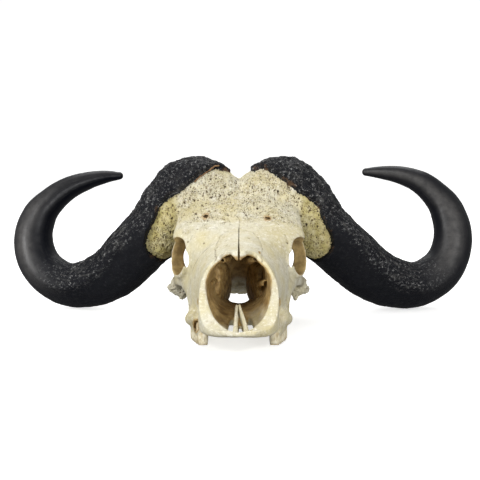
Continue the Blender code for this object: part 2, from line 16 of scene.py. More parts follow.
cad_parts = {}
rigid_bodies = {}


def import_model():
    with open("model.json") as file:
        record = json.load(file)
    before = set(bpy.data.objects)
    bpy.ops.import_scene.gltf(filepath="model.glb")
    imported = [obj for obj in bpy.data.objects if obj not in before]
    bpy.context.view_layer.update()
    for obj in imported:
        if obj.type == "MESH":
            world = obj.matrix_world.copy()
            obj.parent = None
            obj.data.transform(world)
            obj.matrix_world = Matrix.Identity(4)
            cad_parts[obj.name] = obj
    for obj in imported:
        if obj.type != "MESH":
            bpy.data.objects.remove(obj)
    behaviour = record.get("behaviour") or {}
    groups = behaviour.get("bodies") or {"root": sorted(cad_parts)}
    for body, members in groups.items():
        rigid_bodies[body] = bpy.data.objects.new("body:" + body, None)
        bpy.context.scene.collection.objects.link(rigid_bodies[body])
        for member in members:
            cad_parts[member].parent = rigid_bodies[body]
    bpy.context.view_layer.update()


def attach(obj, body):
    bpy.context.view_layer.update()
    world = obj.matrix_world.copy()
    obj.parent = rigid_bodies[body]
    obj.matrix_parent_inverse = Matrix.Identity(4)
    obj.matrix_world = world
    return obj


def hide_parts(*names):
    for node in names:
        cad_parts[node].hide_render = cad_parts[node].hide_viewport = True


MM = 0.001
MAKING = "making"
CORE_VOXEL = 2.6
CUT_VOXEL = 2.0
SKIN_VOXEL = 1.5
EVEN_ROUNDS = 9
SKIN_ROUNDS = 3
SCROLL_VOXEL = 1.0
STATION_STEPS = 4
HORN_STEPS = 22
HORN_SIDES = 190
REST_PITCH = 10.0
REST_PIVOT_Y = 258.0
REST_SHIFT = (-0.0094, -0.0290, -0.0012)
CHEEK_TEETH = (
    ("P2", 17, 15),
    ("P3", 20, 19),
    ("P4", 20, 21),
    ("M1", 25, 24),
    ("M2", 28, 26),
    ("M3", 30, 25),
)
TOOTH_WALL = ((34, 0.84), (28, 0.9), (20, 0.97), (12, 1.0), (5, 0.99), (1.2, 0.96), (0.0, 0.9))
CHEWING_FACE = ((0.3, 0.78), (1.6, 0.68), (1.9, 0.5), (0.6, 0.34), (1.5, 0.16), (1.8, 0.04))
TOOTH_SIDES = 56
TOOTH_ROW_START = 131.0
TOOTH_ROW_X = ((125, 55), (160, 60), (200, 66), (240, 70), (275, 70))
HORN_LINE = (
    (8, 404, 246, 46, 46),
    (38, 404, 254, 65, 56),
    (80, 404, 259, 80, 60),
    (106, 403, 247, 80, 61),
    (131, 402, 227, 70, 60),
    (158, 402, 197, 62, 57),
    (184, 404, 173, 57, 53),
    (216, 411, 141, 56, 48),
    (250, 421, 110, 53, 44),
    (296, 433, 89, 48, 42),
    (345, 443, 85, 43.5, 40),
    (388, 450, 107, 42, 38),
    (413, 454, 142, 40.5, 37),
    (420, 457, 186, 38, 35),
    (409, 462, 227, 34, 32.5),
    (388, 467, 255, 28.5, 29),
    (356, 475, 282, 23.8, 25),
    (317, 485, 300, 18.5, 20),
    (281, 495, 309.5, 13.3, 14),
    (253, 502, 312.5, 8.2, 8.6),
)
RIGHT_REACH = ((0, 0.985), (130, 0.985), (184, 1.01), (216, 1.03), (250, 1.045), (420, 1.04))
RIGHT_HOOK = ((142, 0, 0), (186, 2, 2), (228, 4, 7), (257, 6, 11), (284, 8, 13), (301, 8, 12), (313, 5, 8))
RIGHT_BOTTOM = ((200, 1.0), (300, 1.05), (390, 1.04), (420, 1.0))
SIDES = {"left": -1.0, "right": 1.0}
HORN_SEED = {"left": 20, "right": 40}
HORN_CREST = ((5.5, -28), (7.3, -27), (9.5, 0), (11.7, 25), (13.5, 40))
# The painted highlight along a hook: its angle round the horn, and how much of it is left near the tip.
HORN_SHINE = {"left": (0.38, 0.3), "right": (-0.15, 0.85)}
PRONG_LEAN = 3.2
SCROLL_THICK = 2.2
PANEL_THICK = 2.6
NOSE_PANEL = (
    (206, 35, 66, 122), (214, 31, 62, 126), (240, 24, 60, 130), (272, 18, 60, 128), (306, 14.5, 62, 122),
)
NASAL_SEAM = (
    (37, 96), (36.5, 130), (38.5, 160), (40, 188), (36, 213), (31, 228), (23, 239), (12, 242), (0, 236),
)
NASAL_SLIT = ((100, 1.5), (130, 1.2), (180, 0.6), (215, 0.25), (262, 0.2))
PRONG_SLIT = ((8, 3.0, 18), (40, 2.8, 18), (56, 2.0, 33), (80, 1.1, 35), (104, 0.6, 38), (124, 0.4, 40))
PREMAXILLA_SEAM = ((88, 20), (90, 44), (104, 78), (128, 116), (134, 140))
CHEEK_SEAM = ((208, 56), (246, 62), (290, 74), (344, 82), (338, 116), (318, 136))
LACRIMAL_SEAM = ((208, 56), (218, 96), (240, 124), (262, 132), (296, 134))
FACE_SEAM = ((224, 110), (212, 150), (206, 190))
BROW_SEAM = ((0, 240), (14, 252), (30, 262), (52, 270), (70, 266), (88, 250))
ROOF_SEAM = ((0, 236), (2, 280), (-2, 320), (1, 360), (0, 430))
PALATE_SLOT = ((14.5, 24, 4.0), (16, 45, 5.0), (15.5, 85, 5.0), (14, 126, 3.4))
ORBIT_CENTRE = (104, 275, 141)
ORBIT_FACING = (0.87, -0.47, 0.10)
WINDOW_EDGE = (
    (-30, 304), (18, 311), (47, 321), (80, 299), (108, 273), (133, 258), (153, 240), (163, 213), (176, 184),
    (180, 162), (169, 141), (152, 133), (120, 134), (-30, 134),
)
COLLAR_EDGE = ((-60, 420), (14, 420), (14, 312), (58, 286), (94, 215), (112, 128), (90, 40), (-60, 40))
BONE_NODES = (
    "cranium", "maxilla_left", "maxilla_right", "zygomatic_left", "zygomatic_right", "nasal_left",
    "nasal_right", "premaxilla_left", "premaxilla_right", "temporal_left", "temporal_right",
    "pterygoid_left", "pterygoid_right",
)
CAMERA_PLACE = (-0.0094, -1.2440, 0.3529)
CAMERA_TURN = (90 - 8.52, 0.0, -0.097)
FOCAL_PIXELS = 711
PICTURE_PIXELS = 480
SENSOR_WIDTH = 36.0
FLOOR_REACH = 3.4
FLOOR_BEND = 1.2
WALL_TOP = 6.0
FLOOR_SIDES = 72
SKY = ((-0.35, 0.26), (0.7, 0.46))
LIT_POINT = (0, 0, 0.15)
LIGHTS = (
    ("key", (-1.2, -1.6, 1.8), 18, 0.6),
    ("low", (-1.8, -1.3, 0.75), 26, 0.4),
    ("front", (0.8, -1.9, 0.45), 25, 0.8),
    ("top", (0.1, 1.5, 2.4), 42, 2.2),
)
BROW_HOLES = ((-61, 305.6, 215.6), (53, 297.6, 211.5))
PINHOLES = (
    (-61, 230, 164), (-37, 185, 156), (34, 174, 154), (86, 248, 165), (-90, 252, 167), (-24, 262, 190),
    (40, 268, 192), (-74, 268, 190), (66, 282, 198), (18, 206, 172), (-48, 300, 213), (-20, 176, 161),
)


def smooth_rows(rows, steps):
    """Rows of numbers with steps rows for each span between two, on a Catmull-Rom curve."""
    rows = np.array(rows, float)
    ends = np.vstack([2 * rows[0] - rows[1], rows, 2 * rows[-1] - rows[-2]])
    found = []
    for i in range(len(rows) - 1):
        a, b, c, d = ends[i : i + 4]
        for t in np.arange(steps) / steps:
            found.append(
                0.5 * (2 * b + (c - a) * t + (2 * a - 5 * b + 4 * c - d) * t**2
                       + (3 * b - a - 3 * c + d) * t**3)
            )
    found.append(rows[-1])
    return np.array(found)


def directions(points):
    """Unit vectors along a line of points."""
    along = np.gradient(points, axis=0)
    return along / np.linalg.norm(along, axis=1)[:, None]


def turns(count):
    """Angles that part a round into even steps."""
    return [2 * math.pi * k / count for k in range(count)]


def value_at(table, at):
    """A number read off a table of pairs by straight lines."""
    return float(np.interp(at, [row[0] for row in table], [row[1] for row in table]))


def keep_as(name, bm):
    """An object from loose geometry, among those in the making."""
    mesh = bpy.data.meshes.new(name)
    bm.to_mesh(mesh)
    bm.free()
    made = bpy.data.objects.new(name, mesh)
    bpy.data.collections[MAKING].objects.link(made)
    return made


def closed_body(name, bm):
    """An object with its faces turned outwards."""
    bmesh.ops.recalc_face_normals(bm, faces=bm.faces)
    if bm.calc_volume(signed=True) < 0:
        bmesh.ops.reverse_faces(bm, faces=bm.faces)
    return keep_as(name, bm)


def skin_over(bm, rings):
    """Faces between rings of points, and one across each end."""
    loops = [[bm.verts.new(point) for point in ring] for ring in rings]
    for near, far in zip(loops, loops[1:]):
        for k in range(len(near)):
            after = (k + 1) % len(near)
            bm.faces.new((near[k], near[after], far[after], far[k]))
    bm.faces.new(reversed(loops[0]))
    bm.faces.new(loops[-1])


def loft(name, rings):
    """A closed body through rings of points in millimetres, with a flat face at each end."""
    bm = bmesh.new()
    skin_over(bm, [[Vector(point) * MM for point in ring] for ring in rings])
    bmesh.ops.triangulate(bm, faces=[f for f in bm.faces if len(f.verts) > 4])
    return closed_body(name, bm)


def power(value, exponent):
    """A power that keeps the sign, for rounded squares."""
    return math.copysign(abs(value) ** exponent, value)


def shell(name, stations, sides=40):
    """A body along y. A station is y, half width, z of the widest line, top, bottom, and how square
    the upper and the lower half are."""
    rings = []
    for y, width, middle, top, bottom, square_up, square_down in smooth_rows(stations, STATION_STEPS):
        ring = []
        for angle in turns(sides):
            up = math.sin(angle) >= 0
            square = square_up if up else square_down
            height = top - middle if up else middle - bottom
            x = width * power(math.cos(angle), 2 / square)
            ring.append((x, y, middle + height * power(math.sin(angle), 2 / square)))
        rings.append(ring)
    return loft(name, rings)


def bar(name, stations, side=(1, 0, 0), sides=20, steps=STATION_STEPS):
    """A tapered bar with round ends. A station is x, y, z, half size towards side, half size across."""
    rows = smooth_rows(stations, steps)
    rows[:, 3:] = np.maximum(rows[:, 3:], 0.5)
    points, sizes = rows[:, :3], rows[:, 3:]
    spans = list(zip(points, directions(points), sizes))
    first, last = spans[0], spans[-1]
    for tip, direction, where in ((first, -1, 0), (last, 1, len(spans))):
        caps = []
        for angle in (30, 55, 75):
            reach = min(tip[2]) * math.sin(math.radians(angle)) * direction
            caps.append((tip[0] + tip[1] * reach, tip[1], tip[2] * math.cos(math.radians(angle))))
        spans[where:where] = caps[::-1] if direction < 0 else caps
    rings = []
    for point, tangent, (wide, deep) in spans:
        across = np.array(side, float) - tangent * np.dot(side, tangent)
        across /= np.linalg.norm(across)
        over = np.cross(tangent, across)
        rings.append([point + across * wide * math.cos(a) + over * deep * math.sin(a) for a in turns(sides)])
    return loft(name, rings)


def ball(name, centre, radii, turn=0.0):
    """An ellipsoid, turned about the vertical by turn degrees."""
    bm = bmesh.new()
    bmesh.ops.create_uvsphere(bm, u_segments=24, v_segments=16, radius=1.0)
    place = (
        Matrix.Translation(Vector(centre) * MM)
        @ Matrix.Rotation(math.radians(turn), 4, "Z")
        @ Matrix.Diagonal((*[r * MM for r in radii], 1.0))
    )
    bmesh.ops.transform(bm, matrix=place, verts=bm.verts)
    return closed_body(name, bm)


def cup(name, centre, facing, stations, sides=32):
    """Ellipses along a direction. A station is how far along, the half height and the half breadth."""
    facing = Vector(facing).normalized()
    up = (Vector((0, 0, 1)) - facing * facing.z).normalized()
    breadth = up.cross(facing)
    rings = []
    for reach, high, broad in smooth_rows(stations, STATION_STEPS):
        middle = Vector(centre) + facing * reach
        rings.append([middle + up * high * math.sin(a) + breadth * broad * math.cos(a) for a in turns(sides)])
    return loft(name, rings)


def prism_along_x(name, outline, low, high):
    """An outline in the y-z plane pushed from one x to another."""
    return loft(name, [[(level, y, z) for y, z in outline] for level in (low, high)])


def copied(thing):
    """An object like another, with a mesh of its own."""
    twin = thing.copy()
    twin.data = thing.data.copy()
    bpy.data.collections[MAKING].objects.link(twin)
    return twin


def mirrored(thing):
    """A copy on the other side of the skull."""
    twin = copied(thing)
    twin.data.transform(Matrix.Diagonal((-1, 1, 1, 1)))
    twin.data.flip_normals()
    return twin


def both(things):
    """Each object and its mirror image."""
    return [item for thing in things for item in (thing, mirrored(thing))]


def settle(thing):
    """Makes what the modifiers show the object's own mesh."""
    graph = bpy.context.evaluated_depsgraph_get()
    old = thing.data
    thing.data = bpy.data.meshes.new_from_object(thing.evaluated_get(graph))
    thing.modifiers.clear()
    bpy.data.meshes.remove(old)


def join(name, things):
    """One object from several. Bodies that overlap stay separate shells."""
    bm = bmesh.new()
    for thing in things:
        bm.from_mesh(thing.data)
    made = keep_as(name, bm)
    for thing in things:
        bpy.data.objects.remove(thing, do_unlink=True)
    return made


def fuse(name, things, voxel, rounds):
    """Melts overlapping bodies into one skin and evens it."""
    made = join(name, things)
    remesh = made.modifiers.new("Fuse", "REMESH")
    remesh.mode = "VOXEL"
    remesh.voxel_size = voxel * MM
    even = made.modifiers.new("Even", "SMOOTH")
    even.factor = 0.5
    even.iterations = rounds
    settle(made)
    return made


def cut(thing, other, solver="MANIFOLD"):
    """Takes one closed body away from another."""
    step = thing.modifiers.new("Cut", "BOOLEAN")
    step.object = other
    step.solver = solver
    settle(thing)
    bpy.data.objects.remove(other, do_unlink=True)


def largest_body(thing):
    """Keeps the largest closed surface of an object and drops the scraps."""
    bm = bmesh.new()
    bm.from_mesh(thing.data)
    left = set(bm.verts)
    bodies = []
    while left:
        todo = [left.pop()]
        body = list(todo)
        while todo:
            for edge in todo.pop().link_edges:
                for vertex in edge.verts:
                    if vertex in left:
                        left.remove(vertex)
                        todo.append(vertex)
                        body.append(vertex)
        bodies.append(body)
    bodies.sort(key=len)
    for body in bodies[:-1]:
        bmesh.ops.delete(bm, geom=body, context="VERTS")
    bm.to_mesh(thing.data)
    bm.free()


def face_and_muzzle():
    """The muzzle box, the maxillae and the palate, in one body from the snout to the orbits."""
    box = (
        (2, 27, 50, 96, 27, 2.4, 4.0), (18, 46, 58, 112, 24.5, 2.4, 6.5), (40, 56, 66, 124, 24.5, 2.4, 9.0),
        (65, 60.5, 74, 134, 25, 2.3, 10.0), (95, 61.5, 80, 142, 26.5, 2.2, 7.0),
        (125, 63, 84, 150, 31, 2.1, 3.0), (160, 70, 82, 158, 29, 2.1, 3.2),
        (195, 78, 82, 169, 27, 2.1, 3.6), (230, 85, 90, 181, 27, 2.2, 3.4),
        (262, 88, 104, 190, 30, 2.3, 2.8), (292, 62, 110, 190, 42, 2.4, 2.6),
    )
    roof = (
        (96, 34, 128, 134, 122, 2.2, 2.2), (112, 36, 131, 139, 124, 2.2, 2.2),
        (140, 37, 138, 149.5, 126, 2.2, 2.2), (180, 38, 146, 164, 130, 2.2, 2.2),
        (225, 46, 156, 181, 136, 2.2, 2.2), (262, 60, 168, 193, 145, 2.2, 2.2),
    )
    return [shell("muzzle", box), shell("nasal_roof", roof)]


def cheek():
    """The facial tuber, the crest behind it, the bone round the tooth row and the arch of the cheek."""
    crest = (
        (73, 164, 44, 10, 12), (80, 184, 37, 10, 10), (74, 210, 46, 12, 15), (75, 238, 64, 14, 22),
        (81, 262, 86, 15, 24), (98, 290, 98, 10, 15),
    )
    sockets = (
        (54, 128, 34, 9, 10), (60, 160, 30, 13, 16), (66, 200, 29, 16, 19), (69, 240, 30, 17, 21),
        (66, 272, 34, 15, 20), (59, 288, 42, 10, 14),
    )
    arch = (
        (98, 288, 98, 7, 13), (108, 312, 98, 6, 12), (114, 338, 97, 6, 11), (118, 362, 95, 7, 11),
        (119, 388, 92, 9, 13),
    )
    shelf = ((56, 368, 104, 15, 14), (84, 366, 97, 18, 9), (112, 366, 94, 16, 8))
    made = [bar("crest", crest), bar("tooth_sockets", sockets), bar("arch", arch)]
    return made + [bar("jaw_joint_shelf", shelf, side=(0, 1, 0))]


def orbit_wall():
    """The bony cup round the eye, with its raised rim."""
    line = ((5, 38, 34.5), (0, 40, 36), (-14, 39.5, 36.5), (-34, 36, 35), (-52, 30, 30))
    return [cup("orbit_wall", ORBIT_CENTRE, ORBIT_FACING, line)]


def forehead():
    """The broad dome of the frontal bones, from between the eyes to the crown."""
    dome = (
        (222, 62, 140, 178, 110, 2.2, 2.2), (250, 92, 156, 189, 122, 2.2, 2.2),
        (278, 118, 171, 202, 146, 2.3, 2.2), (308, 118, 190, 220, 160, 2.4, 2.2),
        (340, 115, 214, 244, 178, 2.4, 2.2), (370, 112, 236, 268, 186, 2.4, 2.2),
        (398, 98, 248, 289, 190, 2.3, 2.2), (420, 76, 250, 297, 196, 2.2, 2.2),
        (438, 54, 246, 286, 200, 2.2, 2.2),
    )
    return [shell("forehead", dome)]


def braincase():
    """The braincase, the skull base and the plate of the occiput."""
    case = (
        (270, 44, 128, 182, 92, 2.3, 2.3), (305, 54, 138, 200, 90, 2.3, 2.3),
        (345, 64, 150, 226, 88, 2.3, 2.3), (385, 70, 155, 250, 84, 2.4, 2.4),
        (420, 78, 160, 262, 80, 2.6, 2.6), (440, 72, 165, 258, 84, 2.6, 2.6),
    )
    plate = (
        (408, 86, 150, 276, 78, 2.8, 2.6), (428, 92, 150, 282, 74, 2.8, 2.6),
        (446, 84, 150, 272, 80, 2.6, 2.4), (452, 66, 150, 250, 92, 2.4, 2.4),
    )
    base = ((0, 300, 98, 20, 14), (0, 350, 92, 24, 12), (0, 400, 88, 27, 12), (0, 446, 88, 30, 12))
    return [shell("braincase", case), shell("occiput", plate), bar("skull_base", base)]


def back_of_skull():
    """On one side: the mastoid wing, the condyle, the process beside it and the ear capsule."""
    wing = ((84, 414, 100, 20, 26), (104, 402, 92, 15, 25), (122, 394, 82, 11, 19), (133, 390, 78, 7, 9))
    foot = ((104, 400, 84, 12, 12), (110, 398, 70, 10, 9), (112, 398, 60, 8, 6))
    process = ((64, 420, 92, 17, 16), (62, 428, 68, 12, 15), (59, 432, 46, 8, 12), (56, 434, 27, 5.5, 9))
    ear = ((60, 390, 92, 12, 12), (100, 394, 98, 9, 9))
    return [
        bar("mastoid_wing", wing, side=(0, 1, 0)),
        bar("wing_foot", foot),
        ball("condyle", (31, 456, 88), (20, 19, 27), turn=-18),
        bar("process", process),
        ball("ear_capsule", (48, 388, 76), (13, 22, 16)),
        bar("ear_tube", ear, side=(0, 1, 0)),
    ]


def pterygoid():
    """The thin upright plate beside the inner nostril, from the palate to the skull base."""
    line = ((26, 268, 74, 5, 24), (25, 295, 74, 4.5, 28), (25, 322, 78, 4.5, 24), (26, 345, 84, 5, 14))
    return [bar("pterygoid", line)]


def horn_core():
    """The bony root of the horn, which shows on the forehead where the sheath ends."""
    line = (
        (12, 404, 256, 38, 42), (44, 404, 262, 47, 57), (80, 404, 257, 50, 67), (120, 401, 228, 49, 66),
        (148, 399, 196, 46, 56), (160, 398, 173, 38, 42),
    )
    return [bar("horn_core", line, side=(0, -1, 0), sides=28)]


def tooth_socket_edge():
    """The bone that stands round the roots of the front cheek teeth."""
    line = ((58, 136, 21, 9, 5), (59, 146, 19, 11, 7), (62, 168, 18.5, 12, 8), (66, 200, 19, 13, 7))
    return [bar("tooth_socket_edge", line)]


def prong_middle(y):
    """The line between the two prongs, which leans over to the left towards their tips."""
    return value_at(((0, PRONG_LEAN), (40, 2.6), (75, 0.8), (124, -1.8)), y)


def premaxilla_prongs():
    """The inner prongs of the premaxillae, which rise back to meet over the floor of the nose."""
    line = ((8, 14, 30, 4.2, 5), (7.3, 40, 36, 3.8, 7), (4.9, 75, 46, 3.3, 9), (2.4, 112, 57, 2.6, 10))
    return [
        bar("prong", [(prong_middle(y) + side * x, y, *rest) for x, y, *rest in line])
        for side in SIDES.values()
    ]


def nasal_tongue():
    """The free ends of the two nasal bones, which hang forward over the nose between two notches."""
    line = ((0, 150, 149, 16, 3), (0, 134, 144.5, 14, 3.2), (0, 121, 140.5, 10, 3), (0, 110, 136.5, 5, 2.6))
    return [bar("tongue", line)]


def sphenoid_bulge():
    """The swelling of the skull base over the inner nostril, seen through the nose."""
    line = ((0, 318, 92, 16, 12), (0, 346, 84, 22, 12), (0, 376, 80, 24, 11), (0, 402, 85, 24, 9))
    return [bar("sphenoid_bulge", line)]


def wide_hollows():
    """The slope of the open nose, the nose itself, the eye cups and the hollows of the temples."""
    slope = (
        (-40, 36), (10, 36), (25, 41), (40, 52), (55, 66), (85, 95), (100, 112), (114, 128), (122, 140),
        (126, 150), (126, 180), (-40, 180),
    )
    nose = (
        (-20, 20, 70, 120, 37, 2.4, 2.6), (16, 24, 72, 124, 32, 2.4, 3.0), (40, 37, 76, 128, 31, 2.4, 3.0),
        (70, 47, 84, 132, 31, 2.4, 2.8), (100, 49.5, 92, 136, 35, 2.3, 2.5),
        (125, 48, 96, 140.5, 42, 2.2, 2.3), (150, 47, 98, 147.5, 48, 2.2, 2.2),
        (200, 42, 98, 160, 56, 2.2, 2.4), (245, 32, 90, 150, 59, 2.4, 2.6),
        (280, 21, 78, 112, 57, 2.5, 2.8), (310, 20, 66, 92, 40, 2.5, 2.6), (360, 19, 50, 70, 16, 2.5, 2.5),
        (400, 19, 30, 40, 0, 2.5, 2.5),
    )
    eye = ((30, 36, 33), (6, 33.5, 30.5), (0, 32.5, 30), (-16, 32, 30.5), (-34, 27, 27), (-48, 17, 17))
    temple = (
        (84, 304, 137, 15, 26), (86, 330, 140, 19, 30), (88, 365, 142, 18, 30), (98, 410, 138, 17, 22),
        (106, 470, 138, 20, 20),
    )
    middle = [prism_along_x("nose_slope", slope, -90, 90), shell("nose", nose, sides=32)]
    return middle + both([cup("eye", ORBIT_CENTRE, ORBIT_FACING, eye, sides=28), bar("temple", temple)])


def small_holes():
    """The holes for nerves and for the spine, the slots of the palate and the gap between its prongs."""
    sided = [
        bar("cheek_hole", ((80, 128, 68, 5, 4.5), (58, 152, 66, 5, 4.5)), side=(0, 0, 1), sides=10),
        bar("ear_hole", ((125, 394, 101, 4.4, 4.4), (92, 392, 98, 4, 4)), side=(0, 0, 1), sides=10),
    ]
    brows = [
        bar("brow_hole", ((x, y - 14, z + 8, 4.6, 4.2), (x * 0.97, y + 42, z - 24, 3.8, 3.4)), sides=12)
        for x, y, z in BROW_HOLES
    ]
    spine = bar("spine_hole", ((0, 500, 112, 19, 17), (0, 400, 116, 18, 16)))
    lean = PRONG_LEAN
    gap = bar("prong_gap", ((lean, 22, 30, 2.6, 14), (lean, 60, 30, 3.3, 14), (2, 104, 30, 2, 14)))
    slots = [
        bar("palate_slot", [(lean + side * x, y, 30, half, 14) for x, y, half in PALATE_SLOT])
        for side in SIDES.values()
    ]
    return brows + both(sided) + slots + [spine, gap]


def right_horn_row(row, at):
    """A row of the horn's line as it is on the right, where the hook begins at the line's 12th row."""
    x, y, z, deep, across = row
    reach = value_at(RIGHT_REACH, x)
    if at < 12:
        return (x * reach, y, z, deep, across * value_at(RIGHT_BOTTOM, x))
    out = value_at([(height, more) for height, more, _ in RIGHT_HOOK], z)
    up = value_at([(height, more) for height, _, more in RIGHT_HOOK], z)
    return (x * reach + out, y, z + up, deep, across)


def eased(values, low, high):
    """0 below low, 1 above high and a smooth rise between."""
    t = np.clip((np.asarray(values, float) - low) / (high - low), 0.0, 1.0)
    return t * t * (3 - 2 * t)


def hump(values, width):
    """1 at 0, falling away smoothly on both sides."""
    return np.exp(-((values / width) ** 2))


def cloud(points, size, seed):
    """Soft noise from -1 to 1 with lumps of about size."""
    moved = points / size + seed * 7.31
    return np.array([noise.noise(p) for p in moved.tolist()])


def folds(points, size, seed):
    """Winding crests about size apart: 1 along each crest and lower beside it."""
    return 1.0 - np.abs(cloud(points, size, seed)) * 2.2


def cells(points, size, seed, least, most):
    """Round pits from 0 to 1 round points scattered size apart, with radii between two parts of size."""
    moved = points / size + seed * 5.17
    found = [noise.voronoi(p) for p in moved.tolist()]
    near = np.array([f[0][0] for f in found])
    where = np.array([f[1][0][:] for f in found])
    lot = np.modf(np.abs(np.sin(where @ np.array((12.99, 78.23, 37.72)))) * 437.58)[0]
    return np.clip(1.0 - (near / (least + (most - least) * lot)) ** 2, 0.0, 1.0)


def read_points(thing):
    """The corners of a mesh in millimetres and the directions that they face."""
    count = len(thing.data.vertices)
    points = np.empty(count * 3)
    facing = np.empty(count * 3)
    thing.data.vertices.foreach_get("co", points)
    thing.data.vertices.foreach_get("normal", facing)
    return points.reshape(-1, 3) / MM, facing.reshape(-1, 3)


def write_points(thing, points):
    """Puts the corners of a mesh at points in millimetres."""
    thing.data.vertices.foreach_set("co", (points * MM).ravel())
    thing.data.update()


def push_out(thing, amount):
    """Moves the skin of a body outwards by what amount gives for its corners, in millimetres."""
    points, facing = read_points(thing)
    write_points(thing, points + facing * amount(points)[:, None])


def mark(thing, **marks):
    """Keeps numbers for each corner of the mesh, for the material to read."""
    for name, values in marks.items():
        layer = thing.data.attributes.new(name, "FLOAT", "POINT")
        layer.data.foreach_set("value", np.clip(values, 0.0, 1.0).astype(np.float32))


def distance_to_line(flat, line):
    """How far points in a plane are from a line of straight spans."""
    best = np.full(len(flat), 1e9)
    for a, b in zip(line, line[1:]):
        a, b = np.array(a, float), np.array(b, float)
        along = b - a
        t = np.clip((flat - a) @ along / max(along @ along, 1e-9), 0.0, 1.0)
        best = np.minimum(best, np.linalg.norm(flat - a - t[:, None] * along, axis=1))
    return best


def inside_outline(flat, outline):
    """Signed distance to a closed outline, positive inside."""
    corners = list(outline)
    inside = np.zeros(len(flat), bool)
    for (ax, ay), (bx, by) in zip(corners, corners[1:] + corners[:1]):
        crosses = (ay > flat[:, 1]) != (by > flat[:, 1])
        at = ax + (bx - ax) * (flat[:, 1] - ay) / (by - ay if by != ay else 1e-9)
        inside ^= crosses & (flat[:, 0] < at)
    far = distance_to_line(flat, corners + corners[:1])
    return np.where(inside, far, -far)


def distance_to_body(points, things):
    """How far points are from the skins of some bodies, in millimetres."""
    best = np.full(len(points), 1e9)
    graph = bpy.context.evaluated_depsgraph_get()
    for thing in things:
        tree = BVHTree.FromObject(thing, graph)
        found = [tree.find_nearest(Vector(p), 0.02) for p in (points * MM).tolist()]
        best = np.minimum(best, [f[3] / MM if f[3] is not None else 1e9 for f in found])
    return best


def skull_body():
    """The whole bony skull in one skin, hollowed, with the cutters' skins kept for colouring."""
    central = face_and_muzzle() + forehead() + braincase()
    sided = cheek() + orbit_wall() + back_of_skull()
    sided += pterygoid() + horn_core() + tooth_socket_edge()
    bone = fuse("bone", central + both(sided), CORE_VOXEL, EVEN_ROUNDS)
    wide = wide_hollows()
    holes = small_holes()
    socket = bar("socket", ((-71, 120, 33, 5.5, 8), (-70, 142, 30, 7, 9.5), (-67, 164, 27, 6, 8)))
    nose = [copied(thing) for thing in (wide[1], *holes[:4], socket)]
    orbits = [copied(thing) for thing in wide[2:4]]
    cutters = wide + holes + [socket] + nasal_notches() + eye_notches()
    hollows = fuse("hollows", cutters, CUT_VOXEL, SKIN_ROUNDS)
    cut(bone, hollows, solver="EXACT")
    added = premaxilla_prongs() + nasal_tongue() + sphenoid_bulge()
    bone = fuse("skull_bone", [bone] + added, SKIN_VOXEL, SKIN_ROUNDS)
    largest_body(bone)
    cut(bone, join("slits", [nasal_slit(), prong_slit()]))
    return bone, nose, orbits


def nasal_notches():
    """The two deep notches beside the free tips of the nasal bones."""
    return both([ball("notch", (20, 122, 143), (9.5, 14, 10))])


def eye_notches():
    """The hollow in the front edge of each eye socket, by the tear bone."""
    line = ((91, 226, 134, 3.4, 10), (92, 252, 136, 4.6, 15), (92, 292, 140, 4.6, 15))
    return both([bar("eye_notch", line)])


def nasal_slit():
    """The gap between the two nasal bones, which closes towards the forehead."""
    rings = []
    for y in (84, 130, 180, 225, 262):
        half = value_at(NASAL_SLIT, y) + 0.25
        low = 112 + 0.3 * (y - 84)
        rings.append([(-half, y, low), (half, y, low), (half, y, 260), (-half, y, 260)])
    return loft("nasal_slit", rings)


def prong_slit():
    """The gap between the two prongs of the premaxillae, open below at its front end."""
    rings = []
    for y, half, low in PRONG_SLIT:
        middle = prong_middle(y)
        ends = (middle - half, middle + half)
        rings.append([(ends[0], y, low), (ends[1], y, low), (ends[1], y, 84), (ends[0], y, 84)])
    return loft("prong_slit", rings)


def refine(thing, chosen):
    """Halves the faces round the chosen corners, for fine relief there."""
    bm = bmesh.new()
    bm.from_mesh(thing.data)
    bm.verts.ensure_lookup_table()
    edges = [e for e in bm.edges if chosen[e.verts[0].index] and chosen[e.verts[1].index]]
    bmesh.ops.subdivide_edges(bm, edges=edges, cuts=1, use_grid_fill=True)
    bm.to_mesh(thing.data)
    bm.free()


def pitted_zone(points, facing):
    """How pitted the bone is: the crown between the horns, and the lobes at the horns' roots."""
    x, y, z = points.T
    ragged = 26 * cloud(points, 30, 1) + 9 * cloud(points, 9, 21)
    crown = eased(z + ragged, 158, 236) * eased(y + ragged, 204, 316)
    crown *= eased(facing[:, 2] - facing[:, 1], -0.3, 0.2)
    lobe = eased(np.abs(x), 112, 124) * eased(z, 118, 138) * eased(y, 325, 345)
    return np.maximum(crown, lobe), lobe


def seams(points, facing):
    """Distance in millimetres to the nearest suture between two bones, waved as real ones are."""
    x, y, z = points.T
    side = np.sign(x)
    wave = 1.6 * cloud(points, 9, 3) + 1.1 * cloud(points, 3.2, 4)
    top = np.column_stack([np.abs(x) + wave, y + wave])
    flank = np.column_stack([y + wave, z - wave])
    nasal = distance_to_line(top, NASAL_SEAM)
    nasal[(z < 118) | (facing[:, 2] < 0.15)] = 1e9
    brow = distance_to_line(top, BROW_SEAM)
    brow[(z < 150) | (facing[:, 2] < 0.1)] = 1e9
    roof = distance_to_line(np.column_stack([x + wave, y]), ROOF_SEAM)
    roof[(z < 180) | (facing[:, 2] < -0.2)] = 1e9
    best = np.minimum(np.minimum(nasal, brow + 0.7 + 0.9 * cloud(points, 9, 20)), roof)
    outward = side * facing[:, 0]
    for line, least in ((PREMAXILLA_SEAM, 30), (CHEEK_SEAM, 66), (LACRIMAL_SEAM, 66), (FACE_SEAM, 40)):
        away = distance_to_line(flank, line)
        away[(np.abs(x) < least) | (outward < 0.05)] = 1e9
        best = np.minimum(best, away)
    return best


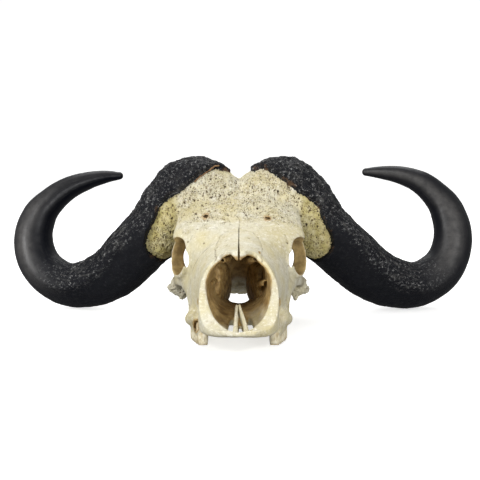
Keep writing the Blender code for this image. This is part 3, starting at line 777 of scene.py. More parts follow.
def socket_depth(points):
    """How far each point lies inside the plane of its eye socket's rim."""
    folded = np.column_stack([np.abs(points[:, 0]), points[:, 1], points[:, 2]])
    return (np.array(ORBIT_CENTRE) - folded) @ np.array(Vector(ORBIT_FACING).normalized())


def socket_lining(points, facing):
    """Where the skin of the eye socket faces its own middle, up to the crest of the rim."""
    side = np.sign(points[:, :1])
    folded = points * np.hstack([side, np.ones((len(points), 2))])
    turned = facing * np.hstack([side, np.ones((len(points), 2))])
    depth = socket_depth(points)
    away = folded - np.array(ORBIT_CENTRE) + depth[:, None] * np.array(Vector(ORBIT_FACING).normalized())
    reach = np.linalg.norm(away, axis=1)
    inner = -(turned * away).sum(axis=1) / np.maximum(reach, 1)
    lined = eased(inner + 0.12 * cloud(points, 8, 15), 0.2, 0.5) * eased(depth, -15, -9)
    return lined * (1 - eased(reach, 41, 44)) * (1 - eased(depth, 50, 60))


def occiput_relief(points, facing):
    """The crest, middle ridge and rough scars of the back of the skull, and where the scars are."""
    x, y, z = points.T
    back = eased(facing[:, 1], 0.35, 0.75) * eased(y, 405, 430) * eased(z, 118, 132)
    crest = z - 236 + 58 * (x / 84) ** 2 + 5 * cloud(points, 18, 25)
    raised = 3.6 * hump(crest, 6.5)
    raised += 3.2 * hump(x + 1.5 * cloud(points, 12, 26), 5.5) * (1 - eased(z, 205, 228))
    below = 1 - eased(crest, -8, 0)
    rough = 0.8 * folds(points, 11, 27) + 1.4 * cloud(points, 22, 28) - 1.0
    return back * (raised + below * rough), back * below


def nose_lining(points, bodies):
    """Where the bone is the wall of the nose, less so on the pale right side of its floor."""
    x, y, z = points.T
    nose = 1.0 - eased(distance_to_body(points, bodies), 2.0, 4.0)
    nose *= eased(y + 8 * cloud(points, 9, 13), 66, 96) * (1 - eased(y, 284, 300))
    pale = eased(x, 6, 26) * (1 - eased(z + 5 * cloud(points, 12, 34), 46, 70)) * (1 - eased(y, 120, 180))
    return nose * (1 - 0.7 * pale)


def nerve_holes(points, to_brow):
    """How deep in a nerve's hole each point lies, and the relief of that."""
    pit = 1 - eased(to_brow + 1.2 * cloud(points, 4, 33), 3.8, 5.6)
    relief = -1.2 * pit
    for hole in PINHOLES:
        dent = hump(np.linalg.norm(points - hole, axis=1), 2.2)
        pit = np.maximum(pit, dent)
        relief -= 2.2 * dent
    return pit, relief


def crown_pits(spots, weight):
    """The small and large pits and the winding furrows of the crown."""
    drawn = spots * (1.0, 0.8, 0.72)
    small = cells(drawn, 3.6, 1, 0.22, 0.46)
    large = cells(drawn, 9.0, 2, 0.1, 0.34)
    worm = eased(folds(spots, 3.2, 7), 0.5, 0.9) * eased(cloud(spots, 9, 16), -0.5, 0.1)
    sparse = eased(weight + 0.35 * cloud(spots, 12, 8), 0.15, 0.75)
    relief = weight * 1.1 * cloud(spots, 6, 17) - sparse * (1.4 * small + 2.3 * large + 2.1 * worm)
    return np.clip(sparse * (0.85 * small + large + 0.7 * worm), 0, 1), relief


def ear_pits(spots, weight):
    """The porous bone round the ear."""
    porous = cells(spots, 6.0, 3, 0.2, 0.55)
    relief = -weight * (2.6 * porous + 2.6 * cloud(spots, 10, 9) + 1.4 * folds(spots, 5, 18))
    return weight * 0.8 * porous, relief


def scar_pits(spots, weight):
    """The pores of the occiput's scars."""
    pores = cells(spots, 7.0, 29, 0.12, 0.4) * weight
    return 0.8 * pores, -1.5 * pores


def weathered(bone, nose_bodies, orbit_bodies):
    """Works pits, pores, sutures and swellings into the bone and marks where they are."""
    points, facing = read_points(bone)
    refine(bone, pitted_zone(points, facing)[0] > 0.05)
    points, facing = read_points(bone)
    zone, lobe = pitted_zone(points, facing)
    x, y, z = points.T
    nose = nose_lining(points, nose_bodies)
    orbit = 1.0 - eased(distance_to_body(points, orbit_bodies), 2.0, 4.0)
    orbit = np.maximum(orbit * eased(socket_depth(points), 0.5, 5.0), socket_lining(points, facing))
    ear = eased(np.abs(x), 84, 98) * eased(y, 372, 384) * (1 - eased(z, 118, 130))
    open_skin = (1 - nose) * (1 - orbit)
    smooth_skin = open_skin * (1 - zone)
    to_brow = np.min([np.linalg.norm((points - hole) * (1, 0.5, 1), axis=1) for hole in BROW_HOLES], axis=0)
    pit, relief = nerve_holes(points, to_brow)
    relief += 0.7 * cloud(points, 34, 5) + 0.35 * cloud(points, 11, 6)
    raised, scar = occiput_relief(points, facing)
    relief += raised
    for weight, pits in ((zone * open_skin, crown_pits), (ear, ear_pits), (scar, scar_pits)):
        chosen = np.flatnonzero(weight > 0.02)
        deep, change = pits(points[chosen], weight[chosen])
        pit[chosen] = np.maximum(pit[chosen], deep)
        relief[chosen] += change
    away = seams(points, facing)
    relief -= 0.8 * hump(away, 1.5) * smooth_skin
    relief += 0.5 * smooth_skin * cloud(points, 5, 31) * eased(cloud(points, 30, 32), -0.2, 0.3)
    relief += nose * (0.9 * cloud(points * (1, 0.3, 1), 8, 10) + 0.7 * cloud(points, 16, 22))
    inside = eased(y, 296, 312) * (1 - eased(y, 380, 410)) * (1 - eased(np.abs(x), 24, 36))
    relief += inside * (1 - eased(z, 104, 122)) * (1.8 * cloud(points, 13, 23) - 2.2 * folds(points, 9, 24))
    write_points(bone, points + facing * relief[:, None])
    # Painted shade, low on the back of the skull and its base, less on the bulge and the ear; the mark also
    # carries the occiput's darker scars.
    shade = eased(y, 300, 380) * (1 - eased(z, 120, 175)) * (1 - inside) * (1 - 0.75 * ear)
    mark(
        bone,
        pit=pit,
        lobe=lobe,
        nose=nose,
        orbit=orbit,
        seam=hump(away, 0.9) * open_skin * (1 - 0.85 * zone),
        shade=np.maximum(shade, scar * eased(cloud(points, 16, 30), -0.1, 0.4)),
        stain=1 - eased(to_brow + 3.5 * cloud(points, 5, 19), 4.5, 10.5),
    )


def tooth(name, centre, length, width, lobes, side):
    """A cheek tooth: ribbed enamel walls and a worn chewing face with its hollows."""
    rings = []
    wall = [(z, size, 1.0) for z, size in TOOTH_WALL]
    for z, size, ribbed in wall + [(z, size, 0.5) for z, size in CHEWING_FACE]:
        ring = []
        for angle in turns(TOOTH_SIDES):
            outer = 1.0 if math.cos(angle) > 0 else 0.45
            ribs = 0.085 * math.cos(2 * lobes * angle) + 0.03 * math.cos(4 * lobes * angle + 0.6)
            lobed = 1 + ribs * outer * ribbed
            x = centre[0] + side * 0.5 * width * lobed * math.cos(angle) * size
            y = centre[1] + 0.52 * length * power(math.sin(angle), 0.62) * size
            ring.append((x, y, z))
        rings.append(ring)
    return loft(name, rings)


def tooth_row(side_name):
    """The six cheek teeth of one side in one piece, grown out of the jaw."""
    side = SIDES[side_name]
    made = []
    front = TOOTH_ROW_START
    for name, length, width in CHEEK_TEETH:
        middle = front + length / 2
        lobes = 2 if name.startswith("M") else 1
        centre = (side * value_at(TOOTH_ROW_X, middle), middle)
        made.append(tooth(name, centre, length, width, lobes, side))
        front += length - 0.6
    row = join(f"cheek_teeth_{side_name}", made)
    height = read_points(row)[0][:, 2]
    push_out(row, lambda p: 0.35 * cloud(p * (1, 1, 0.12), 2.2, 11) * eased(p[:, 2], 0.5, 3.0))
    mark(row, chew=1 - eased(height, 0.4, 2.2), neck=eased(height, 14, 26))
    return row


def sheet(name, path, thickness):
    """A thin wall along y. Each station is y and the points of its line in the x-z plane."""
    rings = []
    for y, line in path:
        line = smooth_rows(line, 5)
        along = directions(line)
        off = np.column_stack([-along[:, 1], along[:, 0]]) * thickness / 2
        ring = [(a, y, b) for a, b in line + off] + [(a, y, b) for a, b in (line - off)[::-1]]
        rings.append(ring)
    return loft(name, rings)


def scroll_paths(side):
    """The lines of the shelf, the roof's scroll and the floor's, each on its way back through the nose."""
    right = side > 0
    shelf = ((48, 99), (43, 100.5), (38.5, 99), (35, 95), (34.5, 90), (38, 88))
    roof = ((34, 146), (32, 136), (28, 128), (21.5, 124.5), (16, 127), (16.5, 133), (21, 134))
    floor = ((46, 70), (42, 72.5), (38, 72), (35, 69))
    plans = (
        (shelf, 160, 236, 4, 0.95 if right else 0.5),
        (roof, 142, 226, 14, 1.0),
        (floor, 178, 240, 8, 0.7),
    )
    for line, first, last, rise, whole in plans:
        path = []
        for y in np.linspace(first, last, 14):
            t = (y - first) / (last - first)
            reach = whole * (0.35 + 0.65 * math.sin(math.pi * min(1.0, 0.1 + 0.9 * t)) ** 0.6)
            reach *= 1.0 if right else 0.9
            (x, z), wave = line[0], 1.8 * math.sin((8 if right else 6) * t + side)
            bent = [(x + (a - x) * reach, z + (b - z) * reach) for a, b in line]
            path.append((y, [(side * (a - 9 * t), b + rise * t + wave) for a, b in bent]))
        yield path


def panel_path(side):
    """The thin slanting plate that parts each half of the nose from the hollow beside it."""
    for y, x, low, high in NOSE_PANEL:
        line = [(x + 9, low - 4), (x + 3, low + 6), (x - 1, (low + high) / 2), (x - 2, high - 8)]
        yield y, [(side * a, b) for a, b in [*line, (x + 5, high + 3)]]


def nasal_scrolls(side_name):
    """The rolled plates on the side wall and under the roof of the nose, and the panel beside them."""
    side = SIDES[side_name]
    made = [sheet("scroll", path, SCROLL_THICK) for path in scroll_paths(side)]
    made.append(sheet("panel", panel_path(side), PANEL_THICK))
    piece = fuse(f"nasal_scroll_{side_name}", made, SCROLL_VOXEL, SKIN_ROUNDS)
    push_out(piece, lambda p: 0.7 * cloud(p, 9, 12) + 0.35 * cloud(p, 3, 14))
    return piece


def sheath_lining():
    """The torn brown skin that shows in the crack under the edge of the left sheath."""
    line = (
        (-84, 358, 285, 0.9, 0.9), (-77, 361, 292.5, 1.6, 1.4), (-70, 364, 298, 1.1, 1.2),
        (-64, 366, 302, 2.0, 1.5), (-57, 370, 308, 1.6, 1.3), (-51, 374, 313.5, 2.3, 1.5),
        (-45, 376, 317.5, 1.8, 1.3), (-39, 379, 318, 1.0, 0.9),
    )
    piece = bar("sheath_lining", line, side=(0, -1, 0), sides=16, steps=14)
    push_out(piece, lambda p: 1.1 * cloud(p, 4.5, 70) + 0.7 * cloud(p, 2.0, 71))
    return piece


def horn_rings(line):
    """The rings of a sheath: its points, its middle points and how far along the line each ring is."""
    rows = smooth_rows(line, HORN_STEPS)
    at = np.arange(len(rows)) / HORN_STEPS
    points, sizes = rows[:, :3], rows[:, 3:]
    spans = list(zip(points, directions(points), sizes, at))
    tip_point, tip_along, tip_size, tip_at = spans[-1]
    for angle in np.radians(np.linspace(8, 86, 12)):
        reach = min(tip_size) * math.sin(angle)
        spans.append((tip_point + tip_along * reach, tip_along, tip_size * math.cos(angle), tip_at))
    rings, middles, ats = [], [], []
    for point, tangent, (deep, across), where in spans:
        front = np.array((0, -1.0, 0)) - tangent * -tangent[1]
        front /= np.linalg.norm(front)
        down = np.cross(tangent, front)
        angle = np.arange(HORN_SIDES) * 2 * math.pi / HORN_SIDES
        rings.append(point + np.outer(np.cos(angle) * deep, front) + np.outer(np.sin(angle) * across, down))
        middles.append(np.repeat(point[None], HORN_SIDES, axis=0))
        ats.append(np.full(HORN_SIDES, where))
    return np.array(rings), np.array(middles), np.array(ats)


def turned_from(angle, centre):
    """The angle round the horn measured from a line along it, between plus and minus pi."""
    return (angle - centre + math.pi) % (2 * math.pi) - math.pi


def horn_skin(points, at, angle, side_name):
    """Millimetres to add to the horn's radius, for lumps, cracks and a ridge, and marks for its finish: among
    them a painted highlight along the hook and the underside, kept dark as painted shade.
    """
    seed = HORN_SEED[side_name]
    boss = 1 - eased(at, 3.2, 6.0)
    drop = eased(at, 3.0, 5.0) * (1 - eased(at, 9.0, 12.0))
    hook = eased(at, 9.5, 12.5)
    tube = np.column_stack([at * 34, np.cos(angle) * 48, np.sin(angle) * 48])
    grooves = cloud(tube * (0.2, 1, 1), 4.4, seed + 9) + 0.5 * cloud(tube * (0.3, 1, 1), 2.6, seed + 10)
    lumps = 2.6 * cloud(points, 26, seed) + 2.2 * cloud(points, 11, seed + 1)
    crust = 2.5 * np.clip(folds(points, 7.0, seed + 2), -0.6, 1) + 1.4 * cloud(points, 3.4, seed + 3)
    wrinkles = 0.5 * cloud(tube * (1, 0.2, 0.2), 5.5, seed + 4)
    grain = 0.8 * np.clip(folds(points, 5.0, seed + 5), -0.5, 1)
    turned = turned_from(angle, np.radians(np.interp(at, *zip(*HORN_CREST))))
    ridge = hump(turned, np.where(turned < 0, 0.42, 0.24)) - 0.35 * hump(turned - 0.8, 0.4)
    ridge *= eased(at, 5.0, 7.0) * (1 - eased(at, 9.5, 12.5))
    # The underside below the ridge; the material keeps it nearly black there as painted shade.
    under = eased(turned + 0.2 * cloud(points, 32, seed + 13), -0.05, 0.45) * (1 - eased(turned, 2.5, 3.0))
    under *= eased(at, 3.2, 5.2)
    bands = 0.3 * cloud(tube * (1, 0.05, 0.05), 9, seed + 6) + 0.25 * cloud(points, 30, seed + 7)
    skin = boss * (lumps + crust - 0.8) + drop * (0.9 * cloud(points, 15, seed + 8) + wrinkles + grain)
    skin += 7.5 * ridge + hook * bands - 0.6 * under * drop * grain
    skin += (0.6 * boss + 1.5 * drop) * (1 - 0.8 * under) * grooves
    streaks = cloud(tube * (0.06, 1, 1), 5.0, seed + 11) + 0.5 * cloud(tube * (0.1, 1, 1), 2.6, seed + 12)
    skin += 0.05 * hook * streaks
    # Painted highlight: a paler band along the hook, where the lamps' highlight falls.
    centre, left_over = HORN_SHINE[side_name]
    highlight_band = hook * hump(turned_from(angle, centre) + 0.15 * cloud(points, 60, seed + 14), 0.5)
    marks = {
        "rough": np.clip(boss + drop, 0, 1),
        "under": under * (1 - eased(at, 11.5, 14.0)),
        "raised": eased(grooves, 0.1, 0.75) * (boss + drop) + hook * eased(streaks, 0.1, 0.7),
        "highlight_band": highlight_band * (left_over + (1 - left_over) * (1 - eased(at, 13, 16.5))),
        "low": eased(-skin, -1.0, 2.2),
    }
    return skin, marks


def bare_root(points, side):
    """Millimetres to the ragged edge of the sheath, positive where it has worn back from the bone."""
    near_edge = 3.0 * cloud(points, 11, 61) + 1.3 * cloud(points, 4, 62)
    flat = points[:, [0, 2]]
    window = np.minimum(inside_outline(flat, WINDOW_EDGE), 402 - points[:, 1])
    collar = inside_outline(flat, COLLAR_EDGE)
    if side > 0:
        collar = np.maximum(collar, inside_outline(flat - (10.0, 0), COLLAR_EDGE))
    return np.maximum(window, collar) + near_edge


def horn(side_name):
    """One black sheath. Where it has worn back from its root the skin sinks into the bone."""
    side = SIDES[side_name]
    line = [(x, y, z, deep, across) for x, y, z, across, deep in HORN_LINE]
    if side > 0:
        line = [right_horn_row(row, at) for at, row in enumerate(line)]
    rings, middles, ats = horn_rings(line)
    points, middles, at = rings.reshape(-1, 3), middles.reshape(-1, 3), ats.ravel()
    angle = np.tile(np.arange(HORN_SIDES) * 2 * math.pi / HORN_SIDES, len(rings))
    skin, marks = horn_skin(points, at, angle, side_name)
    outward = points - middles
    reach = np.linalg.norm(outward, axis=1)
    outward /= reach[:, None]
    edge = bare_root(points, side)
    bare = eased(edge, -1.4, 1.8)
    points = points + outward * (skin - bare * (0.3 * reach + skin))[:, None]
    points[:, 0] = np.maximum(points[:, 0], 6.0) * side
    bm = bmesh.new()
    skin_over(bm, (points * MM).reshape(rings.shape).tolist())
    piece = closed_body(f"horn_sheath_{side_name}", bm)
    mark(piece, edge=hump(edge, 2.2), **marks)
    return piece


def lay_down(pieces):
    """Tips the skull nose up, sets it down over the origin and flattens its feet on the floor."""
    pivot = Vector((0, REST_PIVOT_Y, 0)) * MM
    turn = Matrix.Rotation(math.radians(-REST_PITCH), 4, "X")
    lay = Matrix.Translation(Vector(REST_SHIFT)) @ turn @ Matrix.Translation(-pivot)
    for piece in pieces:
        piece.data.transform(lay)
        points, _ = read_points(piece)
        points[:, 2] = np.maximum(points[:, 2], 0.0)
        write_points(piece, points)


def rgb(red, green, blue):
    """A screen colour of 0 to 255 as the numbers that a shader takes."""
    found = [c / 255 for c in (red, green, blue)]
    return tuple(c / 12.92 if c <= 0.04045 else ((c + 0.055) / 1.055) ** 2.4 for c in found) + (1.0,)


class Recipe:
    """A material in the making, with short calls for the nodes that all of them use."""

    def __init__(self, name):
        """An empty material of that name."""
        self.material = bpy.data.materials.new(name)
        self.material.use_nodes = True
        self.tree = self.material.node_tree
        self.shader = self.tree.nodes["Principled BSDF"]
        self.place = self.tree.nodes.new("ShaderNodeTexCoord").outputs["Object"]

    def put(self, value, socket):
        """Links another node's output, or sets a plain value."""
        if isinstance(value, bpy.types.NodeSocket):
            self.tree.links.new(value, socket)
        else:
            socket.default_value = value

    def noise(self, size, detail=4.0, rough=0.55, stretch=None):
        """Noise from 0 to 1 with spots of about size millimetres."""
        made = self.tree.nodes.new("ShaderNodeTexNoise")
        made.inputs["Scale"].default_value = 1.0 / (size * MM)
        made.inputs["Detail"].default_value = detail
        made.inputs["Roughness"].default_value = rough
        where = self.place
        if stretch:
            mapping = self.tree.nodes.new("ShaderNodeMapping")
            mapping.inputs["Scale"].default_value = stretch
            self.put(where, mapping.inputs["Vector"])
            where = mapping.outputs["Vector"]
        self.put(where, made.inputs["Vector"])
        return made.outputs["Fac"]

    def pores(self, size):
        """Distance to scattered points size millimetres apart, as a part of size."""
        made = self.tree.nodes.new("ShaderNodeTexVoronoi")
        made.inputs["Scale"].default_value = 1.0 / (size * MM)
        self.put(self.place, made.inputs["Vector"])
        return made.outputs["Distance"]

    def mark(self, name):
        """A number that the mesh keeps for each of its corners."""
        made = self.tree.nodes.new("ShaderNodeAttribute")
        made.attribute_name = name
        return made.outputs["Fac"]

    def span(self, value, low, high, first=0.0, last=1.0):
        """Maps low..high of a value to first..last, and no further."""
        made = self.tree.nodes.new("ShaderNodeMapRange")
        for key, number in (("From Min", low), ("From Max", high), ("To Min", first), ("To Max", last)):
            made.inputs[key].default_value = number
        self.put(value, made.inputs["Value"])
        return made.outputs["Result"]

    def product(self, first, second, operation="MULTIPLY"):
        """The product of two values, or another result of them."""
        made = self.tree.nodes.new("ShaderNodeMath")
        made.operation = operation
        self.put(first, made.inputs[0])
        self.put(second, made.inputs[1])
        return made.outputs[0]

    def mix(self, factor, first, second):
        """A colour between two others."""
        made = self.tree.nodes.new("ShaderNodeMix")
        made.data_type = "RGBA"
        self.put(factor, made.inputs[0])
        self.put(first, made.inputs[6])
        self.put(second, made.inputs[7])
        return made.outputs[2]

    def finish(self, colour, roughness, bumps, level=0.5):
        """Links the colour and roughness, and a chain of bumps of (height, millimetres, strength)."""
        self.put(colour, self.shader.inputs["Base Color"])
        self.put(roughness, self.shader.inputs["Roughness"])
        self.shader.inputs["Specular IOR Level"].default_value = level
        last = None
        for height, depth, strength in bumps:
            bump = self.tree.nodes.new("ShaderNodeBump")
            bump.inputs["Distance"].default_value = depth * MM
            bump.inputs["Strength"].default_value = strength
            self.put(height, bump.inputs["Height"])
            if last:
                self.put(last, bump.inputs["Normal"])
            last = bump.outputs["Normal"]
        self.put(last, self.shader.inputs["Normal"])
        return self.material


def bone_material():
    """Old bone: ivory to cream, with painted shade in its pits and holes and low on the back of the skull,
    dark in its sutures, yellow at the horn roots, brown within.
    """
    r = Recipe("old_bone")
    colour = r.mix(r.span(r.noise(70, 3), 0.38, 0.62), rgb(206, 201, 178), rgb(198, 188, 150))
    colour = r.mix(r.span(r.noise(14, 5), 0.5, 0.72, 0, 0.55), colour, rgb(218, 212, 198))
    colour = r.mix(r.span(r.noise(4.5, 6, 0.75), 0.52, 0.62, 0, 0.7), colour, rgb(235, 231, 219))
    fibre = r.span(r.noise(6, 7, 0.8, (1.0, 0.35, 0.35)), 0.53, 0.66, 0.0, 0.6)
    colour = r.mix(fibre, colour, rgb(162, 145, 104))
    colour = r.mix(r.span(r.noise(26, 6, 0.65), 0.54, 0.72, 0, 0.55), colour, rgb(178, 166, 130))
    # Painted shade low on the back of the skull and its base, with the occiput's darker scars in the same
    # mark.
    colour = r.mix(r.product(r.mark("shade"), 0.75), colour, rgb(158, 146, 114))
    lobe = r.product(r.mark("lobe"), r.span(r.noise(16, 4), 0.3, 0.62, 0.45, 1.0))
    colour = r.mix(lobe, colour, rgb(176, 164, 106))
    speck = r.span(r.pores(3.1), 0.1, 0.24, 0.5, 0.0)
    colour = r.mix(r.product(speck, r.span(r.noise(20, 2), 0.45, 0.6)), colour, rgb(130, 112, 78))
    warm = r.span(r.noise(48, 3), 0.5, 0.64, 0.0, 0.42)
    colour = r.mix(warm, colour, rgb(203, 190, 138))
    stain = r.product(r.mark("stain"), r.span(r.noise(5, 4), 0.36, 0.56, 0.1, 0.8))
    colour = r.mix(stain, colour, rgb(172, 128, 70))
    # Painted shade: the pits, furrows and nerve holes darkened to brown, and the deepest holes nearly black.
    pit = r.span(r.mark("pit"), 0.22, 0.85, 0.0, 0.92)
    colour = r.mix(pit, colour, r.mix(r.noise(12, 3), rgb(66, 52, 32), rgb(120, 100, 60)))
    colour = r.mix(r.span(r.mark("pit"), 0.8, 1.0, 0.0, 0.8), colour, rgb(34, 24, 14))
    seam = r.product(r.mark("seam"), r.span(r.noise(11, 3), 0.38, 0.58, 0.1, 0.8))
    colour = r.mix(seam, colour, rgb(112, 94, 66))
    brown = r.mix(r.span(r.noise(13, 5, 0.6), 0.36, 0.66), rgb(128, 98, 52), rgb(188, 160, 104))
    colour = r.mix(r.product(r.mark("nose"), 0.94), colour, brown)
    tan = r.mix(r.span(r.noise(18, 4), 0.4, 0.62), rgb(142, 116, 66), rgb(192, 164, 104))
    colour = r.mix(r.product(r.mark("orbit"), 0.9), colour, tan)
    roughness = r.span(r.noise(8, 4), 0.35, 0.7, 0.5, 0.72)
    bumps = (
        (r.noise(7, 6, 0.6), 0.9, 0.35),
        (r.noise(1.6, 5, 0.75), 0.8, 0.6),
        (r.span(r.pores(3.1), 0.05, 0.3), 0.5, 0.4),
    )
    return r.finish(colour, roughness, bumps, 0.35)


def horn_material():
    """Horn: near black, grey and dry on the rough boss, polished along the hook, with a painted highlight
    along the hook and painted shade on its underside.
    """
    r = Recipe("horn_sheath")
    # Painted shade: the underside loses the dry grey, the dust and the flecks, and stays nearly black.
    rough = r.product(r.mark("rough"), r.span(r.mark("under"), 0.0, 1.0, 1.0, 0.06))
    colour = r.mix(r.span(r.noise(5, 5, 0.6), 0.4, 0.62), rgb(1, 3, 11), rgb(6, 8, 16))
    dry = r.product(rough, r.span(r.noise(5, 8, 0.75), 0.44, 0.66, 0.0, 0.9))
    colour = r.mix(dry, colour, rgb(21, 21, 25))
    hook = r.span(r.mark("rough"), 0.0, 1.0, 0.16, 1.0)
    # Painted highlight: paler grey on the raised crests and along the streaks of the hook, partly rubbed wear
    # of the crests, and kept off the underside as painted shade.
    lit = r.product(r.product(r.mark("raised"), hook), r.span(r.mark("under"), 0.0, 1.0, 1.0, 0.06))
    worn = r.product(lit, r.span(r.noise(6, 4, 0.7), 0.38, 0.58, 0.0, 0.8))
    colour = r.mix(worn, colour, rgb(88, 87, 84))
    dust = r.product(r.product(r.mark("low"), rough), r.span(r.noise(2.2, 4, 0.7), 0.48, 0.62, 0.0, 0.35))
    colour = r.mix(dust, colour, rgb(84, 81, 74))
    # Pale flecks on the rough boss: the dry horn's grey specks, brightened as painted glints.
    fleck = r.product(rough, r.span(r.noise(5.2, 7, 0.85), 0.555, 0.62, 0.0, 0.9))
    colour = r.mix(fleck, colour, rgb(158, 158, 156))
    # Painted highlight: the paler band along the hook.
    highlight_band = r.product(r.mark("highlight_band"), r.span(r.noise(14, 5, 0.6), 0.3, 0.7, 0.35, 0.7))
    colour = r.mix(highlight_band, colour, rgb(94, 92, 90))
    streak = r.span(r.noise(16, 4, 0.6, (1.0, 1.0, 4.0)), 0.58, 0.7, 0.0, 0.3)
    colour = r.mix(streak, colour, rgb(28, 25, 23))
    skin = r.product(r.mark("edge"), r.span(r.noise(26, 5, 0.7), 0.56, 0.66, 0.0, 0.7))
    colour = r.mix(skin, colour, rgb(112, 84, 58))
    dull = r.product(r.mark("rough"), r.span(r.noise(9, 4), 0.3, 0.7, 0.14, 0.28))
    roughness = r.product(dull, r.span(r.noise(22, 5), 0.3, 0.7, 0.32, 0.42), "ADD")
    bumps = (
        (r.product(r.noise(4.6, 8, 0.8), r.span(r.mark("rough"), 0.0, 1.0, 0.04, 1.0)), 3.0, 0.9),
        (r.noise(12, 4, 0.5, (1.0, 1.0, 6.0)), 0.3, 0.2),
    )
    return r.finish(colour, roughness, bumps, 0.2)


def tooth_material():
    """Enamel with brown streaks, browner at the neck and on the worn chewing face."""
    r = Recipe("tooth_enamel")
    colour = r.mix(r.span(r.noise(6, 4), 0.4, 0.62), rgb(224, 216, 190), rgb(196, 182, 142))
    streak = r.span(r.noise(3.2, 5, 0.6, (1.0, 1.0, 0.22)), 0.52, 0.68, 0.0, 0.75)
    colour = r.mix(streak, colour, rgb(134, 108, 68))
    colour = r.mix(r.product(r.mark("neck"), 0.55), colour, rgb(168, 142, 96))
    worn = r.mix(r.span(r.noise(3, 3), 0.4, 0.6), rgb(104, 78, 46), rgb(186, 164, 118))
    colour = r.mix(r.product(r.mark("chew"), 0.8), colour, worn)
    roughness = r.span(r.noise(5, 3), 0.35, 0.65, 0.28, 0.5)
    return r.finish(colour, roughness, ((r.noise(1.8, 5, 0.6, (1.0, 1.0, 0.3)), 0.4, 0.4),), 0.5)


def scroll_material():
    """The thin plates in the nose: brown dried skin over bone."""
    r = Recipe("nasal_membrane")
    colour = r.mix(r.span(r.noise(11, 6, 0.6), 0.36, 0.64), rgb(116, 88, 46), rgb(178, 150, 96))
    colour = r.mix(r.span(r.noise(4, 4), 0.58, 0.72, 0.0, 0.6), colour, rgb(196, 178, 134))
    roughness = r.span(r.noise(6, 3), 0.35, 0.65, 0.5, 0.75)
    return r.finish(colour, roughness, ((r.noise(2.6, 5, 0.6), 0.6, 0.5),), 0.35)


def lining_material():
    """Torn dried skin: orange brown with dark and pale fibres."""
    r = Recipe("dried_skin")
    colour = r.mix(r.span(r.noise(3.5, 5, 0.7), 0.38, 0.62), rgb(96, 72, 52), rgb(160, 126, 90))
    colour = r.mix(r.span(r.noise(1.6, 4), 0.56, 0.68, 0.0, 0.7), colour, rgb(206, 170, 124))
    roughness = r.span(r.noise(3, 3), 0.35, 0.65, 0.6, 0.85)
    return r.finish(colour, roughness, ((r.noise(1.4, 5, 0.6), 0.6, 0.6),), 0.3)


def pale_floor():
    """A round pale floor that rises into a wall."""
    bm = bmesh.new()
    bend = [
        (FLOOR_REACH + FLOOR_BEND * math.sin(a), FLOOR_BEND - FLOOR_BEND * math.cos(a))
        for a in np.radians(range(10, 91, 10))
    ]
    middle = bm.verts.new((0, 0, 0))
    last = None
    for away, z in [(FLOOR_REACH, 0.0), *bend, (FLOOR_REACH + FLOOR_BEND, WALL_TOP)]:
        ring = [bm.verts.new((away * math.cos(a), away * math.sin(a), z)) for a in turns(FLOOR_SIDES)]
        for k in range(FLOOR_SIDES):
            after = (k + 1) % FLOOR_SIDES
            inner = (last[k], last[after]) if last else (middle,)
            bm.faces.new((*inner, ring[after], ring[k]))
        last = ring
    mesh = bpy.data.meshes.new("floor")
    bm.to_mesh(mesh)
    bm.free()
    floor = bpy.data.objects.new("floor", mesh)
    bpy.context.scene.collection.objects.link(floor)
    mesh.polygons.foreach_set("use_smooth", [True] * len(mesh.polygons))
    r = Recipe("pale_floor")
    colour = r.mix(r.noise(900, 2), rgb(244, 244, 243), rgb(248, 248, 247))
    mesh.materials.append(r.finish(colour, 0.9, ((r.noise(40, 2), 0.2, 0.1),), 0.1))
    r.shader.inputs["Emission Color"].default_value = (1.0, 1.0, 1.0, 1.0)
    r.shader.inputs["Emission Strength"].default_value = 0.6
    floor.visible_diffuse = False
    floor.visible_glossy = False
    floor.visible_shadow = False


def sky():
    """White light from all round, weaker from below."""
    world = bpy.data.worlds.new("soft_white")
    bpy.context.scene.world = world
    world.use_nodes = True
    tree = world.node_tree
    place = tree.nodes.new("ShaderNodeTexCoord")
    split = tree.nodes.new("ShaderNodeSeparateXYZ")
    tree.links.new(place.outputs["Generated"], split.inputs[0])
    bright = tree.nodes.new("ShaderNodeMapRange")
    bright.interpolation_type = "SMOOTHSTEP"
    (low, dark), (high, light) = SKY
    for socket, value in zip(bright.inputs[1:5], (low, high, dark, light)):
        socket.default_value = value
    tree.links.new(split.outputs["Z"], bright.inputs["Value"])
    tree.links.new(bright.outputs["Result"], tree.nodes["Background"].inputs["Strength"])
    tree.nodes["Background"].inputs["Color"].default_value = (1.0, 1.0, 1.0, 1.0)


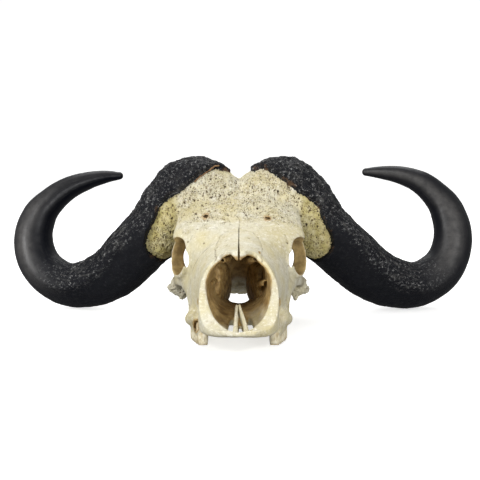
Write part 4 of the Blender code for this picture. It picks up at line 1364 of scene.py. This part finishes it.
def lamps():
    """Soft square lamps that face the skull."""
    for name, place, watts, size in LIGHTS:
        lamp = bpy.data.lights.new(name, "AREA")
        lamp.energy = watts
        lamp.size = size
        thing = bpy.data.objects.new(name, lamp)
        bpy.context.scene.collection.objects.link(thing)
        thing.location = place
        aim = Vector(LIT_POINT) - Vector(place)
        thing.rotation_euler = aim.to_track_quat("-Z", "Y").to_euler()


def camera():
    """The photograph's view."""
    bpy.context.scene.view_settings.view_transform = "Standard"
    lens = bpy.data.cameras.new("camera")
    lens.sensor_width = SENSOR_WIDTH
    lens.lens = SENSOR_WIDTH * FOCAL_PIXELS / PICTURE_PIXELS
    lens.clip_end = 50.0
    thing = bpy.data.objects.new("camera", lens)
    bpy.context.scene.collection.objects.link(thing)
    thing.location = CAMERA_PLACE
    thing.rotation_euler = [math.radians(angle) for angle in CAMERA_TURN]
    bpy.context.scene.camera = thing


def dress(piece, material):
    """Smooth shading, the finish, and the body that the piece rides on."""
    piece.data.polygons.foreach_set("use_smooth", [True] * len(piece.data.polygons))
    piece.data.materials.clear()
    piece.data.materials.append(material)
    bpy.data.collections[MAKING].objects.unlink(piece)
    bpy.context.scene.collection.objects.link(piece)
    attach(piece, "root")


def main():
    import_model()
    camera()
    pale_floor()
    sky()
    lamps()
    making = bpy.data.collections.new(MAKING)
    bpy.context.scene.collection.children.link(making)
    bone, nose_bodies, orbit_bodies = skull_body()
    weathered(bone, nose_bodies, orbit_bodies)
    teeth = [tooth_row(name) for name in SIDES]
    scrolls = [nasal_scrolls(name) for name in SIDES]
    lining = sheath_lining()
    horns = {name: horn(name) for name in SIDES}
    lay_down([bone, *teeth, *scrolls, lining, *horns.values()])
    enamel, skin, black = tooth_material(), scroll_material(), horn_material()
    dress(bone, bone_material())
    for piece in teeth:
        dress(piece, enamel)
    for piece in scrolls:
        dress(piece, skin)
    dress(lining, lining_material())
    for piece in horns.values():
        dress(piece, black)
    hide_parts(*BONE_NODES)
    for name, piece in horns.items():
        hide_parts(f"horn_{name}")
    for helper in list(making.objects):
        bpy.data.objects.remove(helper, do_unlink=True)
    bpy.data.collections.remove(making)


main()
